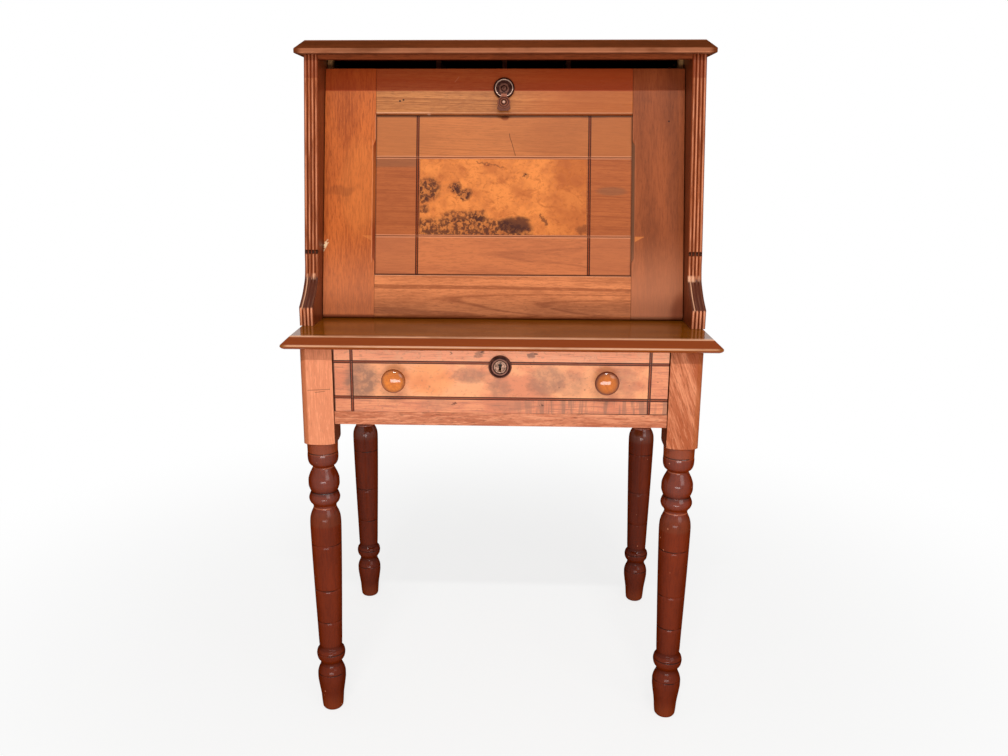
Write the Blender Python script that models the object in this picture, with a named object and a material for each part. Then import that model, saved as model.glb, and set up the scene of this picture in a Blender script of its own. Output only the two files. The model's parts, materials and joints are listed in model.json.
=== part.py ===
"""Fall-front desk: a turned-leg table with a drawer, and a slant-sided case with a fall on top of it.

Metres. X to the right, Y to the back, Z up. The origin is on the floor under the middle of the table top.
Lengths along the fall are "up" (from its lower edge) and "deep" (from its outer face inwards).
"""

import math

import bmesh
import bpy
from mathutils import Matrix, Vector

# Fits
GAP = 0.0003             # between pieces that rest on or seat in each other
OVER = 0.002             # how far a cutter runs past the face it cuts
DRAWER_PLAY = 0.0015     # beside the drawer
DRAWER_HEAD = 0.0012     # over the drawer front
PIN_PLAY = 0.0003        # round a pin

# Table top
TOP_Z = 0.7282
TOP_THICK = 0.0222
TOP_HALF = 0.3696
TOP_DEPTH = 0.550
TOP_BEVEL_WIDE = 0.0158
TOP_BEVEL_HIGH = 0.0132
TOP_NOSE = 0.0105        # how far the nose turns under
TOP_UNDER = TOP_Z - TOP_THICK
TOP_FRONT_Y = -TOP_DEPTH / 2
TOP_BACK_Y = TOP_DEPTH / 2

# Legs: their centres are set in from the edges of the top
LEG_SQUARE = 0.0563
LEG_HALF = LEG_SQUARE / 2
LEG_CORNER = 0.010       # rounding of the outer corner
LEG_SEGMENTS = 20
LEG_FLARE = 0.046        # turned radius that runs out past the square's corners
LEG_FROM_END = 0.0546
LEG_FROM_FRONT = 0.0553
LEG_FROM_BACK = 0.0373
LEG_X = TOP_HALF - LEG_FROM_END
LEG_FRONT_Y = TOP_FRONT_Y + LEG_FROM_FRONT
LEG_BACK_Y = TOP_BACK_Y - LEG_FROM_BACK
LEG_IN_X = LEG_X - LEG_HALF

# Aprons, drawer rail and runners
APRON_THICK = 0.020
APRON_INSET = 0.002      # apron face behind the leg's face
FACE_INSET = 0.00225     # drawer and rail faces behind the leg's
FACE_Y = LEG_FRONT_Y - LEG_HALF + FACE_INSET
FRAME_HIGH = 0.1365
RAIL_HIGH = 0.0230
RAIL_BOTTOM = TOP_UNDER - FRAME_HIGH
RAIL_TOP = RAIL_BOTTOM + RAIL_HIGH
TENON_THICK = 0.008
TENON_LONG = 0.020
TENON_SHOULDER = 0.012   # apron below its tenon, and in front of the rail's
RUNNER_WIDE_IN = 0.0145  # runner under the drawer side, past its outer face
GUIDE_HIGH = 0.030
BLOCK = 0.026            # glue block's section
BLOCK_HALF = 0.035
BLOCKS_AT = (0.215, 0.790)    # their places along the apron, as shares of it

# Drawer
FRONT_THICK = 0.022
SIDE_THICK = 0.011
DRAWER_HALF = LEG_IN_X - DRAWER_PLAY
DRAWER_Z0 = RAIL_TOP + GAP
DRAWER_Z1 = TOP_UNDER - DRAWER_HEAD
DRAWER_SHORT = 0.0427    # drawer's back in front of the back legs' middle
DRAWER_BACK_Y = LEG_BACK_Y - DRAWER_SHORT
FRONT_BACK_Y = FACE_Y + FRONT_THICK
BOTTOM_THICK = 0.006
BOTTOM_RAISED = 0.0102
BOTTOM_Z = DRAWER_Z0 + BOTTOM_RAISED
BOTTOM_TONGUE = 0.0045
TAIL_LONG = 0.014
TAIL_HALF = 0.011        # half width of a dovetail at its root
TAIL_FLARE = 0.0023
LINE_WIDE = 0.0015       # incised lines
LINE_DEEP = 0.0015
LINE_PAIR = 0.0019       # half the spacing of a doubled line
LINE_FROM_FOOT = 0.0257
LINE_FROM_HEAD = 0.0238
LINE_FROM_END = 0.03105
DRAWER_LINES_Z = (DRAWER_Z0 + LINE_FROM_FOOT, DRAWER_Z1 - LINE_FROM_HEAD)
DRAWER_LINE_X = DRAWER_HALF - LINE_FROM_END
KNOB_FROM_END = 0.10535
KNOB_RAISED = 0.0042     # above the middle of the drawer
KNOB_X = DRAWER_HALF - KNOB_FROM_END
KNOB_Z = (DRAWER_Z0 + DRAWER_Z1) / 2 + KNOB_RAISED
SPIGOT_R = 0.005
SPIGOT_LONG = 0.0165
KEY_FROM_HEAD = 0.0298
KEY_Z = DRAWER_Z1 - KEY_FROM_HEAD
KEY_EYE = 0.0034         # keyhole: radius of its round eye
KEY_DROP = 0.0112        # and the slot's length below the eye's middle
KEY_RAISED = 0.0030      # eye's middle above the plate's
LOCK_HALF = 0.0240
LOCK_HIGH = 0.0465
LOCK_DEEP = 0.0080
BOLT_HALF = 0.0070
BOLT_THICK = 0.0040
BOLT_HIGH = 0.0215
BOLT_THROW = 0.0080
MORTISE_PLAY = 0.0020    # round the thrown bolt in the table top

# Fall: its length sets the height of the case
LEAN = math.radians(14.2)
CASE_FROM_END = 0.0116
CASE_OUT = TOP_HALF - CASE_FROM_END
CASE_THICK = 0.0250
CASE_IN = CASE_OUT - CASE_THICK
FALL_PLAY = 0.0012       # beside the fall
FALL_HALF = CASE_IN - FALL_PLAY
FALL_LONG = 0.4641
FALL_THICK = 0.022
FALL_SET_BACK = 0.1788   # outer face carried down to the table, from the table's front
FALL_FOOT_Y = TOP_FRONT_Y + FALL_SET_BACK
FOOT_Z = TOP_Z + GAP
PIVOT_IN = 0.008         # pivot behind the outer face, and the lower edge's rounding
PIVOT_LIFT = 0.0005      # clear space under the open fall
PIVOT_Z = TOP_Z + PIVOT_IN + PIVOT_LIFT
PIVOT_UP = (PIVOT_Z - FOOT_Z + PIVOT_IN * math.sin(LEAN)) / math.cos(LEAN)
PIVOT_Y = FALL_FOOT_Y + PIVOT_UP * math.sin(LEAN) + PIVOT_IN * math.cos(LEAN)
PIN_R = 0.003
PIN_IN_SIDE = 0.0115
PIN_IN_STILE = 0.0220
STILE_WIDE = 0.0948
UPPER_RAIL_WIDE = 0.0852
STILE_IN = FALL_HALF - STILE_WIDE
LOWER_RAIL = 0.0816
UPPER_RAIL = FALL_LONG - UPPER_RAIL_WIDE
PANEL_RECESS = 0.005
TONGUE_OUT = 0.0058
TONGUE_FROM = 0.0108
TONGUE_TO = 0.0186
FALL_TENON_LONG = 0.025
FALL_TENON_FROM = 0.0070
FALL_TENON_TO = 0.0150
FALL_SHOULDER = 0.0120   # rail beside its tenon
LOWER_TENON = (2 * FALL_SHOULDER, LOWER_RAIL - FALL_SHOULDER)
UPPER_TENON = (UPPER_RAIL + FALL_SHOULDER, FALL_LONG - FALL_SHOULDER)
CHAMFER = 0.0050
CHAMFER_RUN = 0.012      # how long the chamfer takes to run out
CHAMFER_FROM = 0.0224    # stopped ends, from the rails
CHAMFER_TO = 0.0459
CHAMFER_SPAN = (LOWER_RAIL + CHAMFER_FROM, UPPER_RAIL - CHAMFER_TO)
RAIL_CHAMFER = 0.0030
PANEL_LINE_IN = 0.0780   # lines in from the stiles and the upper rail
PANEL_LINE_UP = 0.0732   # and up from the lower rail
PANEL_LINE_X = STILE_IN - PANEL_LINE_IN
PANEL_LINES_UP = (LOWER_RAIL + PANEL_LINE_UP, UPPER_RAIL - PANEL_LINE_IN)
BURL_BORDER = 0.0025
BURL_HALF = PANEL_LINE_X - LINE_PAIR - BURL_BORDER
BURL_UP = (PANEL_LINES_UP[0] + BURL_BORDER, PANEL_LINES_UP[1] - BURL_BORDER)
BURL_THICK = 0.0013
ROSETTE_RAISED = 0.0054  # above the middle of the upper rail
ROSETTE_UP = (UPPER_RAIL + FALL_LONG) / 2 + ROSETTE_RAISED
DROP_BELOW = 0.0150      # drop's pin below the rosette's middle
DROP_PIN_UP = ROSETTE_UP - DROP_BELOW
DROP_OUT = 0.0092        # drop's axis in front of the fall's face
DROP_REACH = 0.0119      # pin to the middle of the drop's disc
BRACKET_HALF = 0.0050
BRACKET_OVER = 0.0066    # bracket's arm, clear of the rosette it reaches over
BRACKET_FRONT = DROP_OUT + 0.0022
FORK_HALF = 0.0033       # half the slot between the bracket's cheeks
DROP_PIN_R = 0.0010

# Case round the fall
HEAD_GAP = 0.01108       # over the fall, which swings up past upright
FRIEZE_BOTTOM = FOOT_Z + FALL_LONG * math.cos(LEAN) + HEAD_GAP
FRIEZE_HIGH = 0.0085
FRIEZE_THICK = 0.018
CASE_FROM_BACK = 0.0110
CASE_BACK_Y = TOP_BACK_Y - CASE_FROM_BACK
CORNICE_Z = FRIEZE_BOTTOM + FRIEZE_HIGH
CORNICE_THICK = 0.0238
CORNICE_FILLET = 0.0090
CORNICE_BEVEL = 0.0172
CORNICE_OUT = 0.0147     # overhang at the ends, in front and behind
CORNICE_PROUD = 0.0153
CORNICE_BEHIND = 0.0060
CORNICE_HALF = CASE_OUT + CORNICE_OUT
SLANT_LOW_PROUD = 0.0111  # the side's straight front edge, in front of and behind the fall's foot
SLANT_LOW_UP = 0.1255
SLANT_HIGH_BACK = 0.0494
SLANT_FOOT = (FALL_FOOT_Y - SLANT_LOW_PROUD, TOP_Z + SLANT_LOW_UP)
SLANT_HEAD = (FALL_FOOT_Y + SLANT_HIGH_BACK, CORNICE_Z - GAP)
CORNICE_FRONT_Y = SLANT_HEAD[0] - CORNICE_PROUD
CORNICE_BACK_Y = CASE_BACK_Y + CORNICE_BEHIND
FRIEZE_FRONT_Y = SLANT_HEAD[0] + GAP
FOOT_FROM_FRONT = 0.1045
FOOT_HIGH = 0.0323
FOOT_FRONT_Y = TOP_FRONT_Y + FOOT_FROM_FRONT
FOOT_TOP_Z = TOP_Z + FOOT_HIGH
NOTCH_BELOW = 0.0011     # below the foot of the straight edge
NOTCH_Z = SLANT_FOOT[1] - NOTCH_BELOW
NOTCH_HIGH = 0.0045
NOTCH_DEEP = 0.0034
REEDS = 4
REED_DEEP = 0.0024
BACK_THICK = 0.012
BACK_JOINTS = (0.340, 0.676)    # joints of the back boards, as shares of the case's height
STOP_THICK = 0.0087
STOP_WIDE = 0.020
SHELF_UP = 0.2265
SHELF_Z = FOOT_Z + SHELF_UP
SHELF_THICK = 0.0085
SHELF_BEHIND = 0.004     # shelf behind the stops
DIVIDERS = (-0.3784, 0.0, 0.3634)    # places of the dividers, as shares of the half width


def clear_scene():
    for obj in list(bpy.data.objects):
        bpy.data.objects.remove(obj, do_unlink=True)


def wood(name, colour, roughness=0.4, metallic=0.0):
    """A Principled material of one colour."""
    mat = bpy.data.materials.new(name)
    mat.use_nodes = True
    shader = mat.node_tree.nodes["Principled BSDF"]
    shader.inputs["Base Color"].default_value = (*colour, 1.0)
    shader.inputs["Roughness"].default_value = roughness
    shader.inputs["Metallic"].default_value = metallic
    mat.diffuse_color = (*colour, 1.0)
    return mat


def place(name, bm, mat=None, parent=None):
    """The bmesh as a named object; without a material it is a hidden cutter."""
    bmesh.ops.recalc_face_normals(bm, faces=bm.faces[:])
    mesh = bpy.data.meshes.new(name)
    bm.to_mesh(mesh)
    bm.free()
    obj = bpy.data.objects.new(name, mesh)
    bpy.context.scene.collection.objects.link(obj)
    if mat is None:
        obj.hide_render = True
        obj.display_type = "WIRE"
    else:
        mesh.materials.append(mat)
    if parent is not None:
        obj.parent = parent
    return obj


def boolean(obj, bm, operation, parent=None):
    """Cuts, joins or trims an object by a hidden shape."""
    tool = place(f"tool_{obj.name}_{len(obj.modifiers)}", bm, None, parent)
    mod = obj.modifiers.new("shape", "BOOLEAN")
    mod.operation = operation
    mod.solver = "EXACT"
    mod.object = tool
    return obj


def add_prism(bm, outline, axis, low, high):
    """Extrudes a closed outline of 2-D points along an axis; the two others keep their X, Y, Z order."""
    def at(point, value):
        first, second = point
        spots = {"X": (value, first, second), "Y": (first, value, second), "Z": (first, second, value)}
        return spots[axis]

    start = [bm.verts.new(at(point, low)) for point in outline]
    face = bm.faces.new(start)
    step = Vector(at((0.0, 0.0), high - low))
    grown = bmesh.ops.extrude_face_region(bm, geom=[face])
    moved = [item for item in grown["geom"] if isinstance(item, bmesh.types.BMVert)]
    bmesh.ops.translate(bm, verts=moved, vec=step)
    return bm


def prism(outline, axis, low, high):
    return add_prism(bmesh.new(), outline, axis, low, high)


def add_box(bm, low, high):
    """A box between two corners given in any order."""
    low, high = [[pick(pair) for pair in zip(low, high)] for pick in (min, max)]
    outline = [(low[0], low[1]), (high[0], low[1]), (high[0], high[1]), (low[0], high[1])]
    return add_prism(bm, outline, "Z", low[2], high[2])


def boxes(*pairs):
    """One mesh of separate boxes."""
    bm = bmesh.new()
    for low, high in pairs:
        add_box(bm, low, high)
    return bm


def arc(centre, radius, start, end, steps):
    """Points on an arc, angles in degrees from the first axis."""
    turn = [math.radians(start + (end - start) * k / steps) for k in range(steps + 1)]
    return [(centre[0] + radius * math.cos(a), centre[1] + radius * math.sin(a)) for a in turn]


def turned(profile, centre, axis, segments):
    """Spins (along, radius) points about an axis through centre; the ends close on the axis."""
    bm = bmesh.new()
    points = [(profile[0][0], 0.0), *profile, (profile[-1][0], 0.0)]
    verts = [bm.verts.new((radius, 0.0, along)) for along, radius in points]
    edges = [bm.edges.new(pair) for pair in zip(verts, verts[1:])]
    bmesh.ops.spin(bm, geom=verts + edges, cent=(0, 0, 0), axis=(0, 0, 1), angle=2 * math.pi,
                   steps=segments, use_merge=True)
    bmesh.ops.remove_doubles(bm, verts=bm.verts[:], dist=1e-7)
    facing = Vector((0, 0, 1)).rotation_difference(Vector(axis)).to_matrix().to_4x4()
    bmesh.ops.transform(bm, matrix=Matrix.Translation(centre) @ facing, verts=bm.verts[:])
    return bm


def ring(section, centre, axis, segments):
    """Spins a closed outline of (along, radius) points that stays off the axis."""
    bm = bmesh.new()
    verts = [bm.verts.new((radius, 0.0, along)) for along, radius in section]
    edges = [bm.edges.new(pair) for pair in zip(verts, verts[1:] + verts[:1])]
    bmesh.ops.spin(bm, geom=verts + edges, cent=(0, 0, 0), axis=(0, 0, 1), angle=2 * math.pi,
                   steps=segments, use_merge=True)
    bmesh.ops.remove_doubles(bm, verts=bm.verts[:], dist=1e-7)
    facing = Vector((0, 0, 1)).rotation_difference(Vector(axis)).to_matrix().to_4x4()
    bmesh.ops.transform(bm, matrix=Matrix.Translation(centre) @ facing, verts=bm.verts[:])
    return bm


def rod(centre, radius, axis, low, high, segments=16):
    """A plain round bar along X, Y or Z."""
    outline = arc(centre, radius, 0, 360 - 360 / segments, segments - 1)
    return prism(outline, axis, low, high)


def keyhole(half, drop):
    """Outline of a keyhole about its eye: a round top and a slot below."""
    eye = arc((0.0, 0.0), half, -50, 230, 14)
    return [*eye, (-half * 0.64, -drop), (half * 0.64, -drop)]


# Leg profile as turned, from the floor up: (height, radius).
LEG_PROFILE = (
    (0.0000, 0.0165), (0.0035, 0.0190), (0.0300, 0.0214), (0.0520, 0.0246), (0.0650, 0.0260),
    (0.0730, 0.0260), (0.0820, 0.0242), (0.0900, 0.0208), (0.0955, 0.0194), (0.1000, 0.0212),
    (0.1060, 0.0250), (0.1145, 0.0264), (0.1220, 0.0250), (0.1285, 0.0207), (0.1340, 0.0212),
    (0.1755, 0.0226), (0.2630, 0.0254), (0.3400, 0.0274), (0.3760, 0.0280), (0.3870, 0.0273),
    (0.3970, 0.0247), (0.4040, 0.0216), (0.4085, 0.0204), (0.4130, 0.0214), (0.4180, 0.0256),
    (0.4255, 0.0278), (0.4320, 0.0263), (0.4380, 0.0239), (0.4430, 0.0256), (0.4510, 0.0277),
    (0.4600, 0.0276), (0.4700, 0.0250), (0.4790, 0.0212), (0.4850, 0.0197), (0.4905, 0.0207),
    (0.5000, 0.0245), (0.5095, 0.0272), (0.5310, 0.0275), (0.5322, 0.0335), (0.5350, 0.0400),
    (0.5390, LEG_FLARE),
)


def leg_square(sx, sy, x, y):
    """Plan of the square head: its corner towards (sx, sy) is rounded."""
    h = LEG_HALF
    corner = arc((h - LEG_CORNER, h - LEG_CORNER), LEG_CORNER, 0, 90, 5)
    plan = [*corner, (-h, h), (-h, -h), (h, -h)]
    return [(x + sx * u, y + sy * v) for u, v in plan]


def mortise(low, high):
    """A tenon's box grown by the gap on every side."""
    return tuple(v - GAP for v in low), tuple(v + GAP for v in high)


def side_tenon(sx, end):
    """Box of the side apron's tenon in the front (-1) or back (1) leg."""
    outer = LEG_X + LEG_HALF - APRON_INSET - (APRON_THICK - TENON_THICK) / 2
    xs = sorted((sx * outer, sx * (outer - TENON_THICK)))
    face = LEG_FRONT_Y + LEG_HALF if end < 0 else LEG_BACK_Y - LEG_HALF
    ys = sorted((face, face + end * TENON_LONG))
    return (xs[0], ys[0], RAIL_BOTTOM + TENON_SHOULDER), (xs[1], ys[1], TOP_UNDER - TENON_SHOULDER)


def back_tenon(sx):
    """Box of the back apron's tenon in a back leg."""
    outer = LEG_BACK_Y + LEG_HALF - APRON_INSET - (APRON_THICK - TENON_THICK) / 2
    xs = sorted((sx * LEG_IN_X, sx * (LEG_IN_X + TENON_LONG)))
    low = (xs[0], outer - TENON_THICK, RAIL_BOTTOM + TENON_SHOULDER)
    return low, (xs[1], outer, TOP_UNDER - TENON_SHOULDER)


def rail_tenon(sx):
    """Box of the drawer rail's tenon in a front leg."""
    xs = sorted((sx * LEG_IN_X, sx * (LEG_IN_X + TENON_LONG)))
    middle = (RAIL_BOTTOM + RAIL_TOP) / 2
    near = FACE_Y + TENON_SHOULDER
    half = RAIL_HIGH * 0.26
    return (xs[0], near, middle - half), (xs[1], near + TENON_LONG, middle + half)


def build_legs(mat):
    for side, sx in (("left", -1), ("right", 1)):
        for end, sy, y in (("front", -1, LEG_FRONT_Y), ("back", 1, LEG_BACK_Y)):
            top = TOP_UNDER - GAP
            profile = (*LEG_PROFILE, (top, LEG_FLARE))
            stick = turned(profile, (sx * LEG_X, y, 0), (0, 0, 1), LEG_SEGMENTS)
            leg = place(f"leg_{end}_{side}", stick, mat)
            square = leg_square(sx, sy, sx * LEG_X, y)
            boolean(leg, prism(square, "Z", -OVER, top + OVER), "INTERSECT")
            across = rail_tenon(sx) if sy < 0 else back_tenon(sx)
            boolean(leg, boxes(mortise(*side_tenon(sx, sy)), mortise(*across)), "DIFFERENCE")


def tenoned(name, low, high, tenons, mat):
    """A rail between legs, with its tenons run through it and joined on."""
    obj = place(name, boxes((low, high)), mat)
    start = tuple(min(t[0][k] for t in tenons) for k in range(3))
    end = tuple(max(t[1][k] for t in tenons) for k in range(3))
    return boolean(obj, boxes((start, end)), "UNION")


def build_frame(wood_mat, inner_mat):
    top = TOP_UNDER - GAP
    inner_y = (LEG_FRONT_Y + LEG_HALF + GAP, LEG_BACK_Y - LEG_HALF - GAP)
    outer = LEG_X + LEG_HALF - APRON_INSET
    for side, sx in (("left", -1), ("right", 1)):
        low = (sx * (outer - APRON_THICK), inner_y[0], RAIL_BOTTOM)
        tenoned(f"apron_{side}", low, (sx * outer, inner_y[1], top),
                [side_tenon(sx, -1), side_tenon(sx, 1)], wood_mat)
    back = LEG_BACK_Y + LEG_HALF - APRON_INSET
    reach = LEG_IN_X - GAP
    tenoned("apron_back", (-reach, back - APRON_THICK, RAIL_BOTTOM), (reach, back, top),
            [back_tenon(-1), back_tenon(1)], wood_mat)
    rail_back = LEG_FRONT_Y + LEG_HALF
    tenoned("drawer_rail", (-reach, FACE_Y, RAIL_BOTTOM), (reach, rail_back, RAIL_TOP),
            [rail_tenon(-1), rail_tenon(1)], wood_mat)
    # Each runner is an L: a ledge under the drawer side and a guide beside it, fixed to the apron.
    wall = outer - APRON_THICK - GAP
    ledge = DRAWER_HALF - RUNNER_WIDE_IN
    guide = LEG_IN_X + GAP
    profile = [(ledge, RAIL_BOTTOM + 0.004), (wall, RAIL_BOTTOM + 0.004), (wall, RAIL_TOP + GUIDE_HIGH),
               (guide, RAIL_TOP + GUIDE_HIGH), (guide, RAIL_TOP), (ledge, RAIL_TOP)]
    for side, sx in (("left", -1), ("right", 1)):
        outline = [(sx * x, z) for x, z in profile]
        place(f"drawer_runner_{side}", prism(outline, "Y", inner_y[0], inner_y[1]), inner_mat)
        for end, share in zip(("front", "back"), BLOCKS_AT):
            y = inner_y[0] + share * (inner_y[1] - inner_y[0])
            low = (sx * (wall - BLOCK), y - BLOCK_HALF, top - BLOCK)
            place(f"glue_block_{end}_{side}", boxes((low, (sx * wall, y + BLOCK_HALF, top))), inner_mat)


def moulded(rows, half, front, back):
    """A board whose front and ends follow (height, inset) rows; its back is square."""
    bm = bmesh.new()
    loops = []
    for z, inset in rows:
        wide = half - inset
        near = front + inset
        corners = ((-wide, near), (wide, near), (wide, back), (-wide, back))
        loops.append([bm.verts.new((x, y, z)) for x, y in corners])
    for low, high in zip(loops, loops[1:]):
        for k in range(4):
            bm.faces.new((low[k], low[(k + 1) % 4], high[(k + 1) % 4], high[k]))
    bm.faces.new(loops[0][::-1])
    bm.faces.new(loops[-1])
    return bm


def build_table_top(mat):
    under, top = TOP_UNDER, TOP_Z
    brow = top - TOP_BEVEL_HIGH
    rows = [(under, TOP_NOSE), (under + 0.0010, TOP_NOSE * 0.55), (under + 0.0028, TOP_NOSE * 0.25),
            (under + 0.0052, TOP_NOSE * 0.06), (brow - 0.0020, 0.0), (brow, 0.0009),
            (top - 0.0012, TOP_BEVEL_WIDE - 0.0018), (top, TOP_BEVEL_WIDE)]
    board = place("table_top", moulded(rows, TOP_HALF, TOP_FRONT_Y, TOP_BACK_Y), mat)
    middle = FRONT_BACK_Y - LOCK_DEEP / 2
    half = BOLT_THICK / 2 + MORTISE_PLAY
    wide = BOLT_HALF + MORTISE_PLAY
    low = (-wide, middle - half, under - OVER)
    high = (wide, middle + half, under + BOLT_THROW + MORTISE_PLAY)
    boolean(board, boxes((low, high)), "DIFFERENCE")


def tail_outline(grow):
    """Dovetails on the front end of a drawer side, as (Y, Z) outlines."""
    pitch = (DRAWER_Z1 - 0.001 - DRAWER_Z0) / 3
    root, tip = FRONT_BACK_Y, FRONT_BACK_Y - TAIL_LONG - grow
    found = []
    for k in range(3):
        z = DRAWER_Z0 + pitch * (k + 0.5)
        near, far = TAIL_HALF + grow, TAIL_HALF + TAIL_FLARE + grow
        found.append([(root, z - near), (tip, z - far), (tip, z + far), (root, z + near)])
    return found


def build_drawer(front_mat, inner_mat, knob_mat, dark_mat, brass_mat, iron_mat):
    back_of_front = FRONT_BACK_Y
    low = (-DRAWER_HALF, FACE_Y, DRAWER_Z0)
    board = boxes((low, (DRAWER_HALF, back_of_front, DRAWER_Z1)))
    front = place("drawer_front", board, front_mat)
    half = LINE_WIDE / 2
    edge = FACE_Y - OVER
    wide = DRAWER_HALF + OVER
    across = [((-wide, edge, z + d - half), (wide, FACE_Y + LINE_DEEP, z + d + half))
              for z in DRAWER_LINES_Z for d in (-LINE_PAIR, LINE_PAIR)]
    boolean(front, boxes(*across), "DIFFERENCE")
    foot, head = DRAWER_Z0 - OVER, DRAWER_Z1 + OVER
    upright = [((x + d - half, edge, foot), (x + d + half, FACE_Y + LINE_DEEP * 1.04, head))
               for x in (-DRAWER_LINE_X, DRAWER_LINE_X) for d in (-LINE_PAIR, LINE_PAIR)]
    boolean(front, boxes(*upright), "DIFFERENCE")
    holes = bmesh.new()
    for sx in (-1, 1):
        outline = arc((sx * KNOB_X, KNOB_Z), SPIGOT_R + PIN_PLAY, 0, 330, 11)
        add_prism(holes, outline, "Y", edge, FACE_Y + SPIGOT_LONG + 0.001)
        for outline in tail_outline(GAP):
            root = outline[0][0] + OVER
            beyond = [(root, outline[0][1]), *outline[1:3], (root, outline[3][1])]
            xs = sorted((sx * (DRAWER_HALF - SIDE_THICK - GAP), sx * wide))
            add_prism(holes, beyond, "X", *xs)
    boolean(front, holes, "DIFFERENCE")
    lock = ((-LOCK_HALF, back_of_front - LOCK_DEEP, DRAWER_Z1 - LOCK_HIGH),
            (LOCK_HALF, back_of_front + OVER, DRAWER_Z1 + OVER))
    slot_end = DRAWER_HALF - SIDE_THICK - 0.001
    groove = ((-slot_end, back_of_front - BOTTOM_TONGUE, BOTTOM_Z - GAP),
              (slot_end, back_of_front + OVER, BOTTOM_Z + BOTTOM_THICK + GAP))
    boolean(front, boxes(lock, groove), "DIFFERENCE")
    key = [(x, KEY_Z + KEY_RAISED + z) for x, z in keyhole(KEY_EYE, KEY_DROP)]
    boolean(front, prism(key, "Y", edge, back_of_front - LOCK_DEEP + 0.001), "DIFFERENCE")

    inner = DRAWER_HALF - SIDE_THICK
    side_top = DRAWER_Z1 - 0.001
    for side, sx in (("left", -1), ("right", 1)):
        shoulder = back_of_front + GAP
        outline = [(DRAWER_BACK_Y, side_top), (DRAWER_BACK_Y, DRAWER_Z0), (shoulder, DRAWER_Z0)]
        for tail in tail_outline(0.0):
            outline += [(shoulder, tail[0][1]), *tail[1:3], (shoulder, tail[3][1])]
        outline.append((shoulder, side_top))
        xs = sorted((sx * inner, sx * DRAWER_HALF))
        board = place(f"drawer_side_{side}", prism(outline, "X", *xs), inner_mat)
        low = (sx * (inner - OVER), FACE_Y, BOTTOM_Z - GAP)
        high = (sx * (inner + BOTTOM_TONGUE), DRAWER_BACK_Y + OVER, BOTTOM_Z + BOTTOM_THICK + GAP)
        boolean(board, boxes((low, high)), "DIFFERENCE")
    tongue = inner + BOTTOM_TONGUE - GAP
    # The board steps in at its front corners, where the sides' tails run past it.
    step = slot_end - 0.001
    lip = back_of_front - BOTTOM_TONGUE + GAP
    plan = [(-tongue, shoulder), (-step, shoulder), (-step, lip), (step, lip), (step, shoulder),
            (tongue, shoulder), (tongue, DRAWER_BACK_Y), (-tongue, DRAWER_BACK_Y)]
    place("drawer_bottom", prism(plan, "Z", BOTTOM_Z, BOTTOM_Z + BOTTOM_THICK), inner_mat)
    low = (-inner + GAP, DRAWER_BACK_Y - SIDE_THICK, BOTTOM_Z + BOTTOM_THICK + GAP)
    place("drawer_back", boxes((low, (inner - GAP, DRAWER_BACK_Y, DRAWER_Z1 - 0.010))), inner_mat)

    knob = ((-SPIGOT_LONG, 0.0042), (-SPIGOT_LONG + 0.0008, SPIGOT_R), (GAP, SPIGOT_R), (GAP, 0.0088),
            (0.0020, 0.0090), (0.0045, 0.0078), (0.0080, 0.0080), (0.0110, 0.0108), (0.0140, 0.0160),
            (0.0175, 0.0195), (0.0210, 0.0206), (0.0240, 0.0194), (0.0264, 0.0158), (0.0280, 0.0100),
            (0.0286, 0.0040))
    for side, sx in (("left", -1), ("right", 1)):
        place(f"knob_{side}", turned(knob, (sx * KNOB_X, FACE_Y, KNOB_Z), (0, -1, 0), 20), knob_mat)

    collar = ((GAP, 0.0190), (0.0015, 0.0197), (0.0034, 0.0192), (0.0046, 0.0176), (0.0048, 0.0164),
              (0.0036, 0.0156), (0.0036, 0.0148), (0.0050, 0.0140), (0.0050, 0.0126), (0.0040, 0.0119),
              (0.0014, 0.0119))
    disc = place("drawer_escutcheon", turned(collar, (0, FACE_Y, KEY_Z), (0, -1, 0), 28), dark_mat)
    boolean(disc, prism(key, "Y", FACE_Y - 0.01, FACE_Y + 0.01), "DIFFERENCE")
    plate = ((0.0014 + GAP, 0.0115), (0.0030, 0.0116), (0.0040, 0.0102), (0.0040, 0.0086),
             (0.0033, 0.0078))
    inset = place("keyhole_plate", turned(plate, (0, FACE_Y, KEY_Z), (0, -1, 0), 24), brass_mat)
    boolean(inset, prism(key, "Y", FACE_Y - 0.01, FACE_Y + 0.01), "DIFFERENCE")

    low = (-LOCK_HALF + GAP, back_of_front - LOCK_DEEP + GAP, DRAWER_Z1 - LOCK_HIGH + GAP)
    high = (LOCK_HALF - GAP, back_of_front - GAP, DRAWER_Z1 - GAP)
    case = place("drawer_lock", boxes((low, high)), iron_mat)
    middle = back_of_front - LOCK_DEEP / 2
    bolt_low = (-BOLT_HALF, middle - BOLT_THICK / 2, DRAWER_Z1 - BOLT_HIGH)
    bolt_high = (BOLT_HALF, middle + BOLT_THICK / 2, DRAWER_Z1 - 0.0005)
    place("drawer_lock_bolt", boxes((bolt_low, bolt_high)), brass_mat)
    pocket = (tuple(v - GAP for v in bolt_low),
              (BOLT_HALF + GAP, middle + BOLT_THICK / 2 + GAP, DRAWER_Z1 + OVER))
    boolean(case, boxes(pocket), "DIFFERENCE")
    eye = [(x, z - 0.0001) for x, z in key]
    boolean(case, prism(eye, "Y", low[1] - OVER, low[1] + 0.0010), "DIFFERENCE")


def smooth_path(points, steps):
    """Points on a smooth curve through the given (Y, Z) points."""
    ends = [points[0], *points, points[-1]]
    found = []
    for a, b, c, d in zip(ends, ends[1:], ends[2:], ends[3:]):
        for k in range(steps):
            t = k / steps
            found.append(tuple(
                0.5 * (2 * q + (r - p) * t + (2 * p - 5 * q + 4 * r - s) * t * t
                       + (3 * q - p - 3 * r + s) * t ** 3)
                for p, q, r, s in zip(a, b, c, d)))
    return [*found, points[-1]]


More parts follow.
